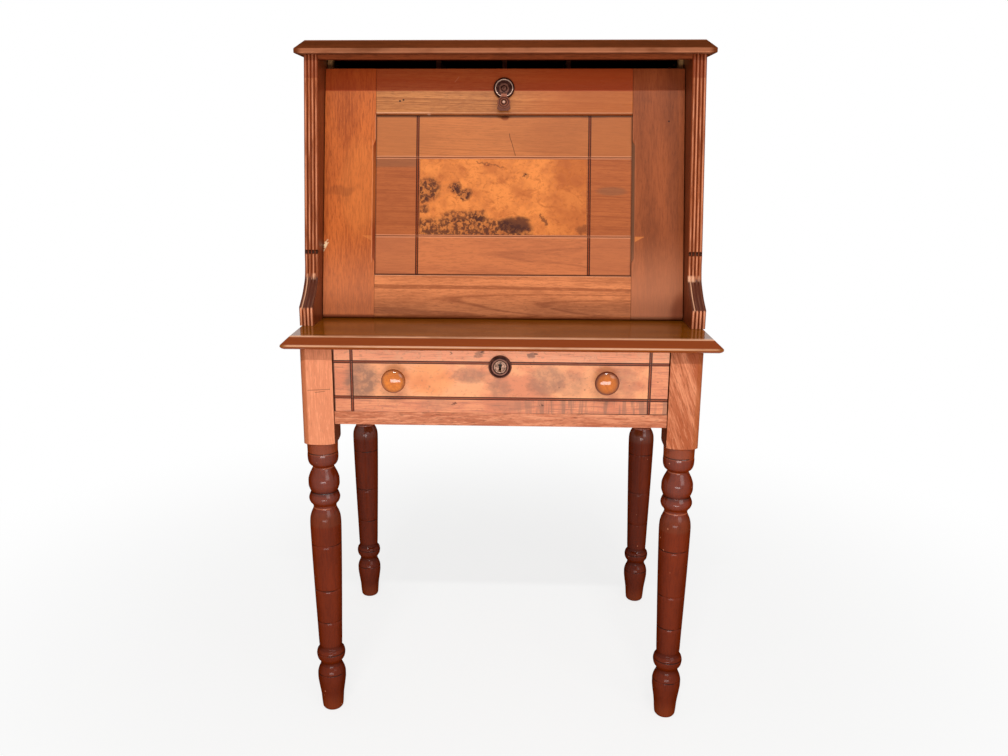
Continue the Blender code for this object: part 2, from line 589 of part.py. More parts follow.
# Front edge of a case side from the foot's top edge up the hollow sweep to the straight slant:
# (share of the way back, share of the way up).
SWEEP = ((0.0, 0.0), (0.22, 0.09), (0.45, 0.19), (0.64, 0.30), (0.80, 0.42), (0.91, 0.58), (0.975, 0.80))


def sweep_points():
    """(Y, Z) points of the hollow sweep."""
    back = SLANT_FOOT[0] - FOOT_FRONT_Y
    rise = SLANT_FOOT[1] - FOOT_TOP_Z
    return [(FOOT_FRONT_Y + u * back, FOOT_TOP_Z + v * rise) for u, v in SWEEP]


def on_slant(z):
    share = (z - SLANT_FOOT[1]) / (SLANT_HEAD[1] - SLANT_FOOT[1])
    return SLANT_FOOT[0] + share * (SLANT_HEAD[0] - SLANT_FOOT[0]), z


def edge_rows():
    """(Y, Z, even depth) rows up the front edge: reeds all along but in the notch, cut to one depth."""
    rows = [(FOOT_FRONT_Y, FOOT_Z, 0.0), (FOOT_FRONT_Y, FOOT_TOP_Z - 0.0015, 0.0)]
    rows += [(y, z, 0.0) for y, z in smooth_path(sweep_points(), 2)]
    low = NOTCH_Z - NOTCH_HIGH / 2
    high = NOTCH_Z + NOTCH_HIGH / 2
    cuts = ((low, 0.0), (low + 0.0006, NOTCH_DEEP), (high - 0.0012, NOTCH_DEEP), (high, 0.0006),
            (high + 0.002, 0.0))
    rows += [(*on_slant(z), deep) for z, deep in cuts]
    third = (SLANT_HEAD[1] - SLANT_FOOT[1]) / 3
    rows += [(*on_slant(SLANT_FOOT[1] + k * third), 0.0) for k in (1, 2, 3)]
    return rows


def reed_depths():
    """(share of the thickness, depth) across the reeded edge."""
    shape = ((0.0, 1.0), (0.16, 0.36), (0.5, 0.0), (0.84, 0.36))
    found = [((k + s) / REEDS, d * REED_DEEP) for k in range(REEDS) for s, d in shape]
    found.append((1.0, REED_DEEP))
    found[0] = (0.0, REED_DEEP * 0.8)
    found[-1] = (1.0, REED_DEEP * 0.8)
    return found


def reeded_side(sx):
    """A case side: its front edge is a strip of reeds that follows the foot, the sweep and the slant."""
    bm = bmesh.new()
    rows = edge_rows()
    across = reed_depths()
    grid = []
    for k, (y, z, even) in enumerate(rows):
        before = rows[max(k - 1, 0)]
        after = rows[min(k + 1, len(rows) - 1)]
        along = Vector((after[0] - before[0], after[1] - before[1])).normalized()
        inward = Vector((along.y, -along.x))
        line = []
        for share, depth in across:
            deep = max(depth, even)
            x = sx * (CASE_IN + share * CASE_THICK)
            level = k in (0, len(rows) - 1)
            step = Vector((deep, 0.0)) if level else inward * deep
            line.append(bm.verts.new((x, y + step.x, z + step.y)))
        grid.append(line)
    for low, high in zip(grid, grid[1:]):
        for k in range(len(across) - 1):
            bm.faces.new((low[k], low[k + 1], high[k + 1], high[k]))
    foot = [bm.verts.new((v.co.x, CASE_BACK_Y, FOOT_Z)) for v in (grid[0][0], grid[0][-1])]
    head = [bm.verts.new((v.co.x, CASE_BACK_Y, rows[-1][1])) for v in (grid[0][0], grid[0][-1])]
    bm.faces.new([*[line[0] for line in grid], head[0], foot[0]])
    bm.faces.new([*[line[-1] for line in grid], head[1], foot[1]])
    bm.faces.new([*grid[0], foot[1], foot[0]])
    bm.faces.new([*grid[-1], head[1], head[0]])
    bm.faces.new((foot[0], foot[1], head[1], head[0]))
    return bm


def beside_fall(up, deep):
    """World (Y, Z) of a point given along and behind the fall's outer face."""
    y = FALL_FOOT_Y + up * math.sin(LEAN) + deep * math.cos(LEAN)
    return y, FOOT_Z + up * math.cos(LEAN) - deep * math.sin(LEAN)


def slanted(deep, z):
    """World (Y, Z) at a height on the plane that lies this deep behind the fall's face."""
    up = (z - FOOT_Z + deep * math.sin(LEAN)) / math.cos(LEAN)
    return beside_fall(up, deep)


def build_case(mat, inner_mat, stop_mat, pin_mat):
    under = CORNICE_Z - GAP
    for side, sx in (("left", -1), ("right", 1)):
        board = place(f"case_side_{side}", reeded_side(sx), mat)
        xs = sorted((sx * (CASE_IN - OVER), sx * (CASE_IN + PIN_IN_SIDE + GAP)))
        boolean(board, rod((PIVOT_Y, PIVOT_Z), PIN_R + PIN_PLAY, "X", *xs), "DIFFERENCE")
        xs = sorted((sx * (CASE_IN + PIN_IN_SIDE), sx * (FALL_HALF - PIN_IN_STILE)))
        place(f"fall_pivot_pin_{side}", rod((PIVOT_Y, PIVOT_Z), PIN_R, "X", *xs), pin_mat)
        near = FALL_THICK + GAP
        far = near + STOP_WIDE
        outline = [slanted(near, FOOT_Z), slanted(near, under), slanted(far, under), slanted(far, FOOT_Z)]
        xs = sorted((sx * (CASE_IN - GAP), sx * (CASE_IN - GAP - STOP_THICK)))
        place(f"fall_stop_{side}", prism(outline, "X", *xs), stop_mat)

    brow = CORNICE_Z + CORNICE_FILLET
    head = CORNICE_Z + CORNICE_THICK
    rows = [(CORNICE_Z, 0.0012), (CORNICE_Z + 0.0012, 0.0), (brow - 0.0008, 0.0), (brow, 0.0007),
            (head - 0.0009, CORNICE_BEVEL - 0.0010), (head, CORNICE_BEVEL)]
    place("cornice", moulded(rows, CORNICE_HALF, CORNICE_FRONT_Y, CORNICE_BACK_Y), mat)
    half = CASE_IN - GAP
    low = (-half, FRIEZE_FRONT_Y, FRIEZE_BOTTOM)
    place("frieze_rail", boxes((low, (half, FRIEZE_FRONT_Y + FRIEZE_THICK, under))), mat)

    face = CASE_BACK_Y - BACK_THICK - 0.001
    levels = (FOOT_Z, *[FOOT_Z + share * (CORNICE_Z - FOOT_Z) for share in BACK_JOINTS], under)
    for name, low, high in zip(("lower", "middle", "upper"), levels, levels[1:]):
        high = high - (GAP if name != "upper" else 0.0)
        board = boxes(((-half, face, low), (half, face + BACK_THICK, high)))
        place(f"back_board_{name}", board, inner_mat)
    room = FALL_THICK + STOP_WIDE + SHELF_BEHIND
    low = (-half, slanted(room, SHELF_Z)[0], SHELF_Z)
    back = face - GAP
    place("pigeonhole_shelf", boxes((low, (half, back, SHELF_Z + SHELF_THICK))), inner_mat)
    low = SHELF_Z + SHELF_THICK + GAP
    room += SHELF_BEHIND / 2
    outline = [slanted(room, low), (back, low), (back, under), slanted(room, under)]
    for name, share in zip(("left", "middle", "right"), DIVIDERS):
        x = share * CASE_IN
        board = prism(outline, "X", x - SHELF_THICK / 2, x + SHELF_THICK / 2)
        place(f"pigeonhole_divider_{name}", board, inner_mat)


def fall_section(top):
    """(deep, up) outline of the fall's lower edge about its pivot, carried up to a height."""
    lean = math.degrees(LEAN)
    reach = FALL_THICK - PIVOT_IN
    drop = PIVOT_IN
    heel = reach - 0.0001
    turn = -math.degrees(math.asin(drop / heel)) + lean
    outer = arc((0, 0), PIVOT_IN, 180, 270 + lean, 6)
    inner = arc((0, 0), heel, turn, 0, 3)
    return [(-PIVOT_IN, top), *outer, *inner, (reach, 0.0008), (reach, top)]


def fall_box(x0, x1, up, deep):
    """Box in the fall's own frame, whose origin is on the pivot."""
    low = (x0, deep[0] - PIVOT_IN, up[0] - PIVOT_UP)
    return low, (x1, deep[1] - PIVOT_IN, up[1] - PIVOT_UP)


def stopped_chamfer(x, inward):
    """Cutter for a chamfer on a stile's inner arris that runs out in a curve at both ends."""
    bm = bmesh.new()
    low, high = CHAMFER_SPAN
    ends = ((0.0, -0.0006), (0.30, CHAMFER * 0.24), (0.65, CHAMFER * 0.76), (1.0, CHAMFER))
    rows = [(low + CHAMFER_RUN * s, size) for s, size in ends]
    rows += [(high - CHAMFER_RUN * s, size) for s, size in reversed(ends)]
    spare = 0.004
    loops = []
    for up, size in rows:
        z = up - PIVOT_UP
        y = -PIVOT_IN
        near = x - inward * spare
        points = ((near, y - spare), (x + inward * (size + spare), y - spare), (near, y + size + spare))
        loops.append([bm.verts.new((px, py, z)) for px, py in points])
    for a, b in zip(loops, loops[1:]):
        for k in range(3):
            bm.faces.new((a[k], a[(k + 1) % 3], b[(k + 1) % 3], b[k]))
    bm.faces.new(loops[0][::-1])
    bm.faces.new(loops[-1])
    return bm


def build_fall(mat, panel_mat, burl_mat):
    pivot = bpy.data.objects.new("fall_axis", None)
    pivot.location = (0.0, PIVOT_Y, PIVOT_Z)
    pivot.rotation_euler = (-LEAN, 0.0, 0.0)
    bpy.context.scene.collection.objects.link(pivot)
    thick = (0.0, FALL_THICK)
    tongue = (TONGUE_FROM - GAP, TONGUE_TO + GAP)
    reach = TONGUE_OUT + GAP
    field = (LOWER_RAIL - reach, UPPER_RAIL + reach)
    tenon = (FALL_TENON_FROM, FALL_TENON_TO)
    slot = (FALL_TENON_FROM - GAP, FALL_TENON_TO + GAP)
    for side, sx in (("left", -1), ("right", 1)):
        section = fall_section(FALL_LONG - PIVOT_UP)
        xs = sorted((sx * STILE_IN, sx * FALL_HALF))
        stile = place(f"fall_stile_{side}", prism(section, "X", *xs), mat, pivot)
        mouth = sx * (STILE_IN - OVER)
        groove = fall_box(mouth, sx * (STILE_IN + reach), field, tongue)
        boolean(stile, boxes(groove), "DIFFERENCE", pivot)
        deep = sx * (STILE_IN + FALL_TENON_LONG + GAP)
        sockets = [fall_box(mouth, deep, (a - GAP, b + GAP), slot) for a, b in (LOWER_TENON, UPPER_TENON)]
        boolean(stile, boxes(*sockets), "DIFFERENCE", pivot)
        boolean(stile, stopped_chamfer(sx * STILE_IN, sx), "DIFFERENCE", pivot)
        xs = sorted((sx * (FALL_HALF - PIN_IN_STILE - GAP), sx * (FALL_HALF + OVER)))
        boolean(stile, rod((0.0, 0.0), PIN_R + PIN_PLAY, "X", *xs), "DIFFERENCE", pivot)

    half = STILE_IN - GAP
    past = half + OVER
    long = STILE_IN + FALL_TENON_LONG
    section = fall_section(LOWER_RAIL - PIVOT_UP)
    lower = place("fall_rail_lower", prism(section, "X", -half, half), mat, pivot)
    boolean(lower, boxes(fall_box(-long, long, LOWER_TENON, tenon)), "UNION", pivot)
    groove = fall_box(-past, past, (field[0], LOWER_RAIL + OVER), tongue)
    boolean(lower, boxes(groove), "DIFFERENCE", pivot)
    section = [(0.0, FALL_LONG), (0.0, UPPER_RAIL + RAIL_CHAMFER), (RAIL_CHAMFER, UPPER_RAIL),
               (FALL_THICK, UPPER_RAIL), (FALL_THICK, FALL_LONG)]
    section = [(d - PIVOT_IN, u - PIVOT_UP) for d, u in section]
    upper = place("fall_rail_upper", prism(section, "X", -half, half), mat, pivot)
    boolean(upper, boxes(fall_box(-long, long, UPPER_TENON, tenon)), "UNION", pivot)
    groove = fall_box(-past, past, (UPPER_RAIL - OVER, field[1]), tongue)
    boolean(upper, boxes(groove), "DIFFERENCE", pivot)

    # The panel is flush with the frame inside, where one writes, and stands back from it outside.
    face = (PANEL_RECESS, FALL_THICK)
    span = (LOWER_RAIL + GAP, UPPER_RAIL - GAP)
    panel = place("fall_panel", boxes(fall_box(-half, half, span, face)), panel_mat, pivot)
    wide = STILE_IN + TONGUE_OUT
    tall = (LOWER_RAIL - TONGUE_OUT, UPPER_RAIL + TONGUE_OUT)
    rim = fall_box(-wide, wide, tall, (TONGUE_FROM, TONGUE_TO))
    boolean(panel, boxes(rim), "UNION", pivot)
    w = LINE_WIDE / 2
    front = PANEL_RECESS - OVER
    cut = (front, PANEL_RECESS + LINE_DEEP)
    lines = [fall_box(-past, past, (u - w, u + w), cut) for u in PANEL_LINES_UP]
    boolean(panel, boxes(*lines), "DIFFERENCE", pivot)
    cut = (front, PANEL_RECESS + LINE_DEEP * 1.04)
    tall = (LOWER_RAIL - OVER, UPPER_RAIL + OVER)
    lines = [fall_box(x + d - w, x + d + w, tall, cut)
             for x in (-PANEL_LINE_X, PANEL_LINE_X) for d in (-LINE_PAIR, LINE_PAIR)]
    boolean(panel, boxes(*lines), "DIFFERENCE", pivot)
    bed = fall_box(-BURL_HALF, BURL_HALF, BURL_UP, (front, PANEL_RECESS + BURL_THICK + GAP))
    boolean(panel, boxes(bed), "DIFFERENCE", pivot)
    sheet = fall_box(-BURL_HALF + GAP, BURL_HALF - GAP, (BURL_UP[0] + GAP, BURL_UP[1] - GAP),
                     (PANEL_RECESS, PANEL_RECESS + BURL_THICK))
    place("fall_burl_field", boxes(sheet), burl_mat, pivot)
    return pivot


def build_pull(pivot, dark_mat, brass_mat, drop_mat):
    """Rosette with a bright rim, and a drop that swings on a pin in a small bracket under it."""
    centre = (0.0, -PIVOT_IN, ROSETTE_UP - PIVOT_UP)
    disc = ((GAP, 0.0186), (0.0012, 0.0193), (0.0036, 0.0193), (0.0050, 0.0182), (0.0052, 0.0173),
            (0.0026, 0.0171), (0.0026, 0.0142), (0.0022, 0.0120), (0.0015, 0.0088), (0.0023, 0.0080),
            (0.0023, 0.0064), (0.0014, 0.0052), (0.0016, 0.0028), (0.0040, 0.0024), (0.0046, 0.0010))
    place("pull_rosette", turned(disc, centre, (0, -1, 0), 28), dark_mat, pivot)
    rim = ((0.0026 + GAP, 0.0146), (0.0046, 0.0149), (0.0056, 0.0156), (0.0050, 0.0166),
           (0.0026 + GAP, 0.0168))
    place("pull_rim", ring(rim, centre, (0, -1, 0), 28), brass_mat, pivot)

    z = DROP_PIN_UP - PIVOT_UP
    y = -PIVOT_IN - DROP_OUT

    def pull_box(half, up, out):
        """Box about the pin's height, with its faces given outwards from the fall."""
        return (-half, -PIVOT_IN - out[1], z + up[0]), (half, -PIVOT_IN - out[0], z + up[1])

    # The bracket's foot stands under the rosette, and its forked arm reaches up over the rim.
    foot = pull_box(BRACKET_HALF, (-0.0125, -0.0054), (GAP, BRACKET_FRONT))
    bracket = place("pull_bracket", boxes(foot), drop_mat, pivot)
    arm = pull_box(BRACKET_HALF, (-0.0100, 0.0024), (BRACKET_OVER, BRACKET_FRONT - 0.0001))
    boolean(bracket, boxes(arm), "UNION", pivot)
    fork = pull_box(FORK_HALF, (-0.0042, 0.0060), (BRACKET_OVER - OVER, BRACKET_FRONT + OVER))
    boolean(bracket, boxes(fork), "DIFFERENCE", pivot)
    hole = DROP_PIN_R + PIN_PLAY
    past = BRACKET_HALF + OVER
    boolean(bracket, rod((y, z), hole, "X", -past, past, 12), "DIFFERENCE", pivot)
    pin = BRACKET_HALF - 0.0002
    place("pull_pin", rod((y, z), DROP_PIN_R, "X", -pin, pin, 10), brass_mat, pivot)

    # The drop: a hub on the pin, a neck over the bracket, a disc with a boss, and a small tail.
    middle = z - DROP_REACH
    disc = ((0.0118, 0.0082), (0.0122, 0.0096), (0.0136, 0.0098), (0.0146, 0.0090), (0.0148, 0.0078),
            (0.0140, 0.0066), (0.0138, 0.0052), (0.0152, 0.0040), (0.0166, 0.0028), (0.0172, 0.0010))
    drop = place("pull_drop", turned(disc, (0.0, -PIVOT_IN, middle), (0, -1, 0), 20), drop_mat, pivot)
    tail = ((-0.0152, 0.0008), (-0.0142, 0.0022), (-0.0120, 0.0030), (-0.0100, 0.0026), (-0.0070, 0.0020))
    boolean(drop, turned(tail, (0.0, -PIVOT_IN - 0.0132, middle), (0, 0, 1), 12), "UNION", pivot)
    neck = FORK_HALF - 0.0005
    boolean(drop, boxes(pull_box(neck, (-0.0065, 0.0018), (0.0119, 0.0142))), "UNION", pivot)
    boolean(drop, boxes(pull_box(neck - 0.0001, (-0.0026, 0.0017), (DROP_OUT, 0.0136))), "UNION", pivot)
    hub = FORK_HALF - PIN_PLAY
    boolean(drop, rod((y, z), 0.0027, "X", -hub, hub, 16), "UNION", pivot)
    boolean(drop, rod((y, z), hole, "X", -past, past, 12), "DIFFERENCE", pivot)


def main():
    clear_scene()
    walnut = wood("walnut", (0.30, 0.115, 0.045), 0.38)
    turned_walnut = wood("turned_walnut", (0.155, 0.050, 0.024), 0.34)
    panel = wood("panel_walnut", (0.36, 0.145, 0.055), 0.38)
    burl = wood("burl", (0.50, 0.235, 0.080), 0.34)
    drawer_burl = wood("drawer_burl", (0.48, 0.225, 0.105), 0.36)
    inner = wood("secondary_wood", (0.42, 0.285, 0.155), 0.65)
    knob = wood("knob_wood", (0.47, 0.185, 0.030), 0.16)
    ebony = wood("ebonised_wood", (0.030, 0.013, 0.009), 0.28)
    brass = wood("brass", (0.62, 0.43, 0.20), 0.28, 1.0)
    bronze = wood("bronze", (0.40, 0.205, 0.125), 0.36, 1.0)
    iron = wood("iron", (0.16, 0.155, 0.15), 0.5, 1.0)
    build_legs(turned_walnut)
    build_frame(walnut, inner)
    build_table_top(walnut)
    build_drawer(drawer_burl, inner, knob, ebony, brass, iron)
    build_case(walnut, inner, inner, iron)
    pivot = build_fall(walnut, panel, burl)
    build_pull(pivot, ebony, brass, bronze)


main()
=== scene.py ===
"""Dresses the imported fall-front desk: finer turnings and reeds, walnut and burl, old brass, a plain studio.

Metres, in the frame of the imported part: X to the right, Y to the back, Z up.
"Up" and "deep" are lengths on the fall: from its lower edge, and inwards from its outer face.
A finish starts as a sawn board. Tones are then laid over it, each where its mask shows and at its strength.
"""

import json
import math
from typing import NamedTuple

import bmesh
import bpy
from bpy.props import FloatProperty, FloatVectorProperty, IntProperty, PointerProperty
from mathutils import Matrix, Vector


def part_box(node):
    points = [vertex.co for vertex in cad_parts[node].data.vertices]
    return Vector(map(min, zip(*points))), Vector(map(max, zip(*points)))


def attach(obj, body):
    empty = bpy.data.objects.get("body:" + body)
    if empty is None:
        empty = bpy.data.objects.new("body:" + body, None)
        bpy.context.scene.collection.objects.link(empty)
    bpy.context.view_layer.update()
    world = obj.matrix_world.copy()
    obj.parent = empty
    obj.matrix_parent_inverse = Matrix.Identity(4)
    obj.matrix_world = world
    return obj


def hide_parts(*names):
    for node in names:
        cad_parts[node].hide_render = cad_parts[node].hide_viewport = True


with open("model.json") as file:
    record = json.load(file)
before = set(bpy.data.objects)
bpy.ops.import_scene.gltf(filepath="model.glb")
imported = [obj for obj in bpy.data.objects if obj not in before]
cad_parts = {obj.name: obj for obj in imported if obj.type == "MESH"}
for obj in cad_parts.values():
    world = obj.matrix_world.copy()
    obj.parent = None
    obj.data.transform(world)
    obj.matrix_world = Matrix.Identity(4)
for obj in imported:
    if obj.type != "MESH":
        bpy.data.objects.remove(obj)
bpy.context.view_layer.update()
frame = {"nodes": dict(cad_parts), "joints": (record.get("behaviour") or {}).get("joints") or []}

bl_info = {
    "name": "Fall-front desk",
    "version": (1, 0, 0),
    "blender": (4, 5, 0),
    "location": "View3D > Sidebar > Desk",
    "description": "Finishes and finer pieces of a fall-front desk on turned legs",
    "category": "Object",
}

# Fall: its lean, and its pivot's place behind the outer face and above the lower edge.
LEAN = math.radians(14.2)
PIVOT_IN = 0.008
PIVOT_UP = 0.010483
PIVOT = Vector(next(j["pos_m"] for j in frame["joints"] if j["name"] == "fall_hinge"))
FACE_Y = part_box("drawer_front")[0].y
FORWARD = (0, -1, 0)
SIDES = (("left", -1), ("right", 1))


def tint(code):
    """Linear colour of a six-figure screen colour."""
    parts = [int(code[k:k + 2], 16) / 255 for k in (0, 2, 4)]
    return tuple(p / 12.92 if p <= 0.04045 else ((p + 0.055) / 1.055) ** 2.4 for p in parts)


def colour(name, code, description):
    """A colour that a user can change."""
    return FloatVectorProperty(name=name, description=description, default=tint(code), size=3,
                               min=0.0, max=1.0, subtype="COLOR")


def length(name, value, description):
    """A length that a user can change."""
    return FloatProperty(name=name, description=description, default=value, min=0.0, unit="LENGTH",
                         subtype="DISTANCE", precision=5)


def power(name, value, description):
    """A lamp's power that a user can change."""
    return FloatProperty(name=name, description=description, default=value, min=0.0, unit="POWER")


class DeskColours(bpy.types.PropertyGroup):
    """Colours of the woods and metals."""

    stile: colour("Left stile", "CC692F", "Orange walnut of the fall's left stile")
    stile_deep: colour("Left stile, dark grain", "93411A", "Late wood of the left stile")
    # Also laid as painted shade on the rounded outer corner of each leg head.
    brown: colour("Brown walnut", "A0532D", "Browner walnut of the right stile and the sides")
    brown_deep: colour("Brown walnut, dark grain", "70361B", "Late wood of the browner walnut")
    rail: colour("Upper rail", "CC824A", "Tan walnut of the fall's upper rail")
    rail_deep: colour("Upper rail, dark grain", "8F4E28", "Late wood of the upper rail")
    panel: colour("Panel", "C66E3C", "Walnut of the fall's panel")
    panel_deep: colour("Panel, dark grain", "954A26", "Late wood of the panel")
    sill: colour("Lower rail", "E68C58", "Walnut of the fall's lower rail")
    sill_deep: colour("Lower rail, dark grain", "9A5230", "Late wood of the lower rail")
    top: colour("Table top", "90500C", "Old polish on the table top")
    top_deep: colour("Table top, dark grain", "683404", "Dark grain of the table top")
    bevel: colour("Bevel", "853308", "Red-brown bevel round the table top")
    cornice: colour("Cornice", "70361A", "Dull red-brown of the cornice")
    cornice_deep: colour("Cornice, dark grain", "4A2410", "Dark grain of the cornice")
    frieze: colour("Frieze", "8E4526", "Red-brown of the rail under the cornice")
    frieze_deep: colour("Frieze, dark grain", "66301A", "Dark grain of the frieze")
    # Also laid along the cornice's fillet and the reeds' ridges, as rubbed wear with painted highlights.
    faded: colour("Faded walnut", "E6966E", "Faded walnut of the leg heads and the drawer rail")
    faded_deep: colour("Faded walnut, dark grain", "A85838", "Late wood of the faded walnut")
    # Also laid as painted highlights along the table top's arrises, the upper rail's lower arris and the
    # hollows of the case sides.
    worn: colour("Worn edge", "EBAE88", "Bare wood on rubbed edges")
    chipped: colour("Chip", "F4D2A6", "Bare wood in the chip on the left stile")
    # Bleached wood of the left leg head, and painted light on the drawer's top strip.
    bleach_and_painted_light: colour("Bleached leg head", "FFA67C", "Sun-bleached face of the left leg head")
    # Painted shade: deeper red laid on the fall's head, where the cornice shades it.
    cornice_shade_red: colour("Unfaded walnut", "9C3012", "Red that the wood kept in the cornice's shade")
    # Bloom and cracks, and also painted shade on the right stile's chamfer and along the lower rail's foot.
    ashen_and_shade: colour("Ashen", "74503A", "Grey-brown bloom in old polish")
    # Also laid as painted shade in the reeds' grooves, on the reeds under the cornice, on the left stile's
    # and the upper rail's chamfers and at the right stile's lower corner.
    turned: colour("Turned walnut", "74280C", "Dark polish of the turned legs")
    # Also laid as painted shade on the inner faces of the leg heads and the case sides, and in the legs'
    # necks.
    turned_deep: colour("Turned walnut, dark grain", "441204", "Dark grain of the turned legs")
    burl: colour("Burl", "E68844", "Gold of the burl veneer")
    burl_deep: colour("Burl, warm", "A85428", "Orange clouds in the burl")
    burl_eye: colour("Burl eyes", "42201A", "Dark eyes of the burl")
    drawer: colour("Drawer burl", "EC9E6E", "Pale burl of the drawer front")
    drawer_deep: colour("Drawer burl, pink", "CC7858", "Pink clouds of the drawer front")
    drawer_grey: colour("Drawer burl, grey", "8F6450", "Grey-brown patches of the drawer front")
    softwood: colour("Softwood", "C2905C", "Plain wood inside the case and the drawer")
    softwood_deep: colour("Softwood, dark grain", "9C6A3E", "Late wood of the plain wood")
    knob: colour("Knob wood", "EE8422", "Amber polish of the knobs")
    knob_deep: colour("Knob wood, dark grain", "A8500E", "Dark grain of the knobs")
    # Painted shade round the wide back of each knob.
    knob_rim_shade: colour("Knob rim", "5C2006", "Dark polish gathered round the knobs")
    ebony: colour("Blackened wood", "32110A", "Blackened wood of the key and pull plates")
    ebony_worn: colour("Blackened wood, rubbed", "A06A58", "Rubbed edges of the blackened wood")
    brass: colour("Brass", "82604F", "Old dull brass of the keyhole plate")
    brass_dull: colour("Brass, tarnished", "3A2419", "Tarnish of the keyhole plate")
    brass_bright: colour("Bright brass", "D8B09A", "Rubbed brass of the rosette's rim")
    rim_dull: colour("Bright brass, tarnished", "6B4A3C", "Tarnish of the rosette's rim")
    bronze: colour("Bronze", "8E5038", "Pinkish bronze of the drop")
    bronze_dull: colour("Bronze, tarnished", "4A2418", "Tarnish of the drop's bracket")
    # Tarnish, and painted shade in the grooves of the drop.
    bronze_dark: colour("Bronze, dark", "3C180E", "Old polish in the grooves of the drop")
    iron: colour("Iron", "5A5450", "Iron of the lock and the pins")
    # Painted shade laid in the hollow sweeps of the case sides.
    hollow: colour("Hollow", "4A2012", "Dark polish in the hollows of the case sides")
    # Real dirt, and also painted shade in the panel's recessed borders, the pits of the reeds and the
    # drawer's gaps.
    dirt_and_shade: colour("Dirt", "1C0C07", "Dirt and old polish in the scratches")


class DeskSizes(bpy.types.PropertyGroup):
    """Sizes of the finer shapes."""

    leg_segments: IntProperty(name="Leg segments", description="Facets round a turned leg", default=72,
                              min=24, max=144)
    leg_corner: length("Leg corner", 0.010, "Rounding of the leg's outer corner")
    arris: length("Arris", 0.0007, "Softening of the edges of boards")
    table_edge: length("Table edge", 0.0034, "Rounding of the table top's edges")
    reed_deep: length("Reed depth", 0.0024, "Depth of the grooves between the reeds")
    pit_deep: length("Pit depth", 0.0046, "Depth of the pits at the foot of the straight reeds")
    score_deep: length("Score depth", 0.0005, "Depth of the scored rings on the legs")


class DeskLight(bpy.types.PropertyGroup):
    """Levels of the studio."""

    ambient: FloatProperty(name="Ambient", description="Even light from all round", default=0.37, min=0.0)
    key: power("Key light", 162.0, "Power of the long lamp in front and above")
    fill: power("Fill light", 22.0, "Power of the broad lamp in front, to the right")
    low: power("Low light", 17.0, "Power of the wide low lamp in front")
    floor: colour("Floor", "FAFAF8", "Pale floor")
    floor_glow: FloatProperty(name="Floor brightness", description="Share of plain white in the floor's look",
                              default=0.77, min=0.0, max=1.0, subtype="FACTOR")


def tone(name):
    """One of the desk's colours."""
    return getattr(bpy.context.scene.desk_colours, name)


class Wire:
    """A socket in a finish, used in sums like a number."""

    def __init__(self, graph, socket):
        self.graph = graph
        self.socket = socket

    def __add__(self, other):
        return self.graph.maths("ADD", self, other)

    def __sub__(self, other):
        return self.graph.maths("SUBTRACT", self, other)

    def __rsub__(self, other):
        return self.graph.maths("SUBTRACT", other, self)

    def __mul__(self, other):
        return self.graph.maths("MULTIPLY", self, other)

    def __neg__(self):
        return self.graph.maths("MULTIPLY", self, -1.0)

    def __abs__(self):
        return self.graph.maths("ABSOLUTE", self)

    __radd__ = __add__
    __rmul__ = __mul__

    def root(self):
        return self.graph.maths("SQRT", self)

    def rise(self, low, high):
        """0 below low and 1 above high, with a soft step; it falls where low is above high."""
        return self.graph.node("ShaderNodeMapRange", {"interpolation_type": "SMOOTHSTEP"},
                               {"Value": self, "From Min": low, "From Max": high})

    def near(self, middle, half, soft):
        """1 within half of the middle, 0 beyond half and soft."""
        return abs(self - middle).rise(half + soft, half)

    def within(self, start, full, thin, end):
        """Rises from start to full, and falls from thin to end."""
        return self.rise(start, full) * self.rise(end, thin)


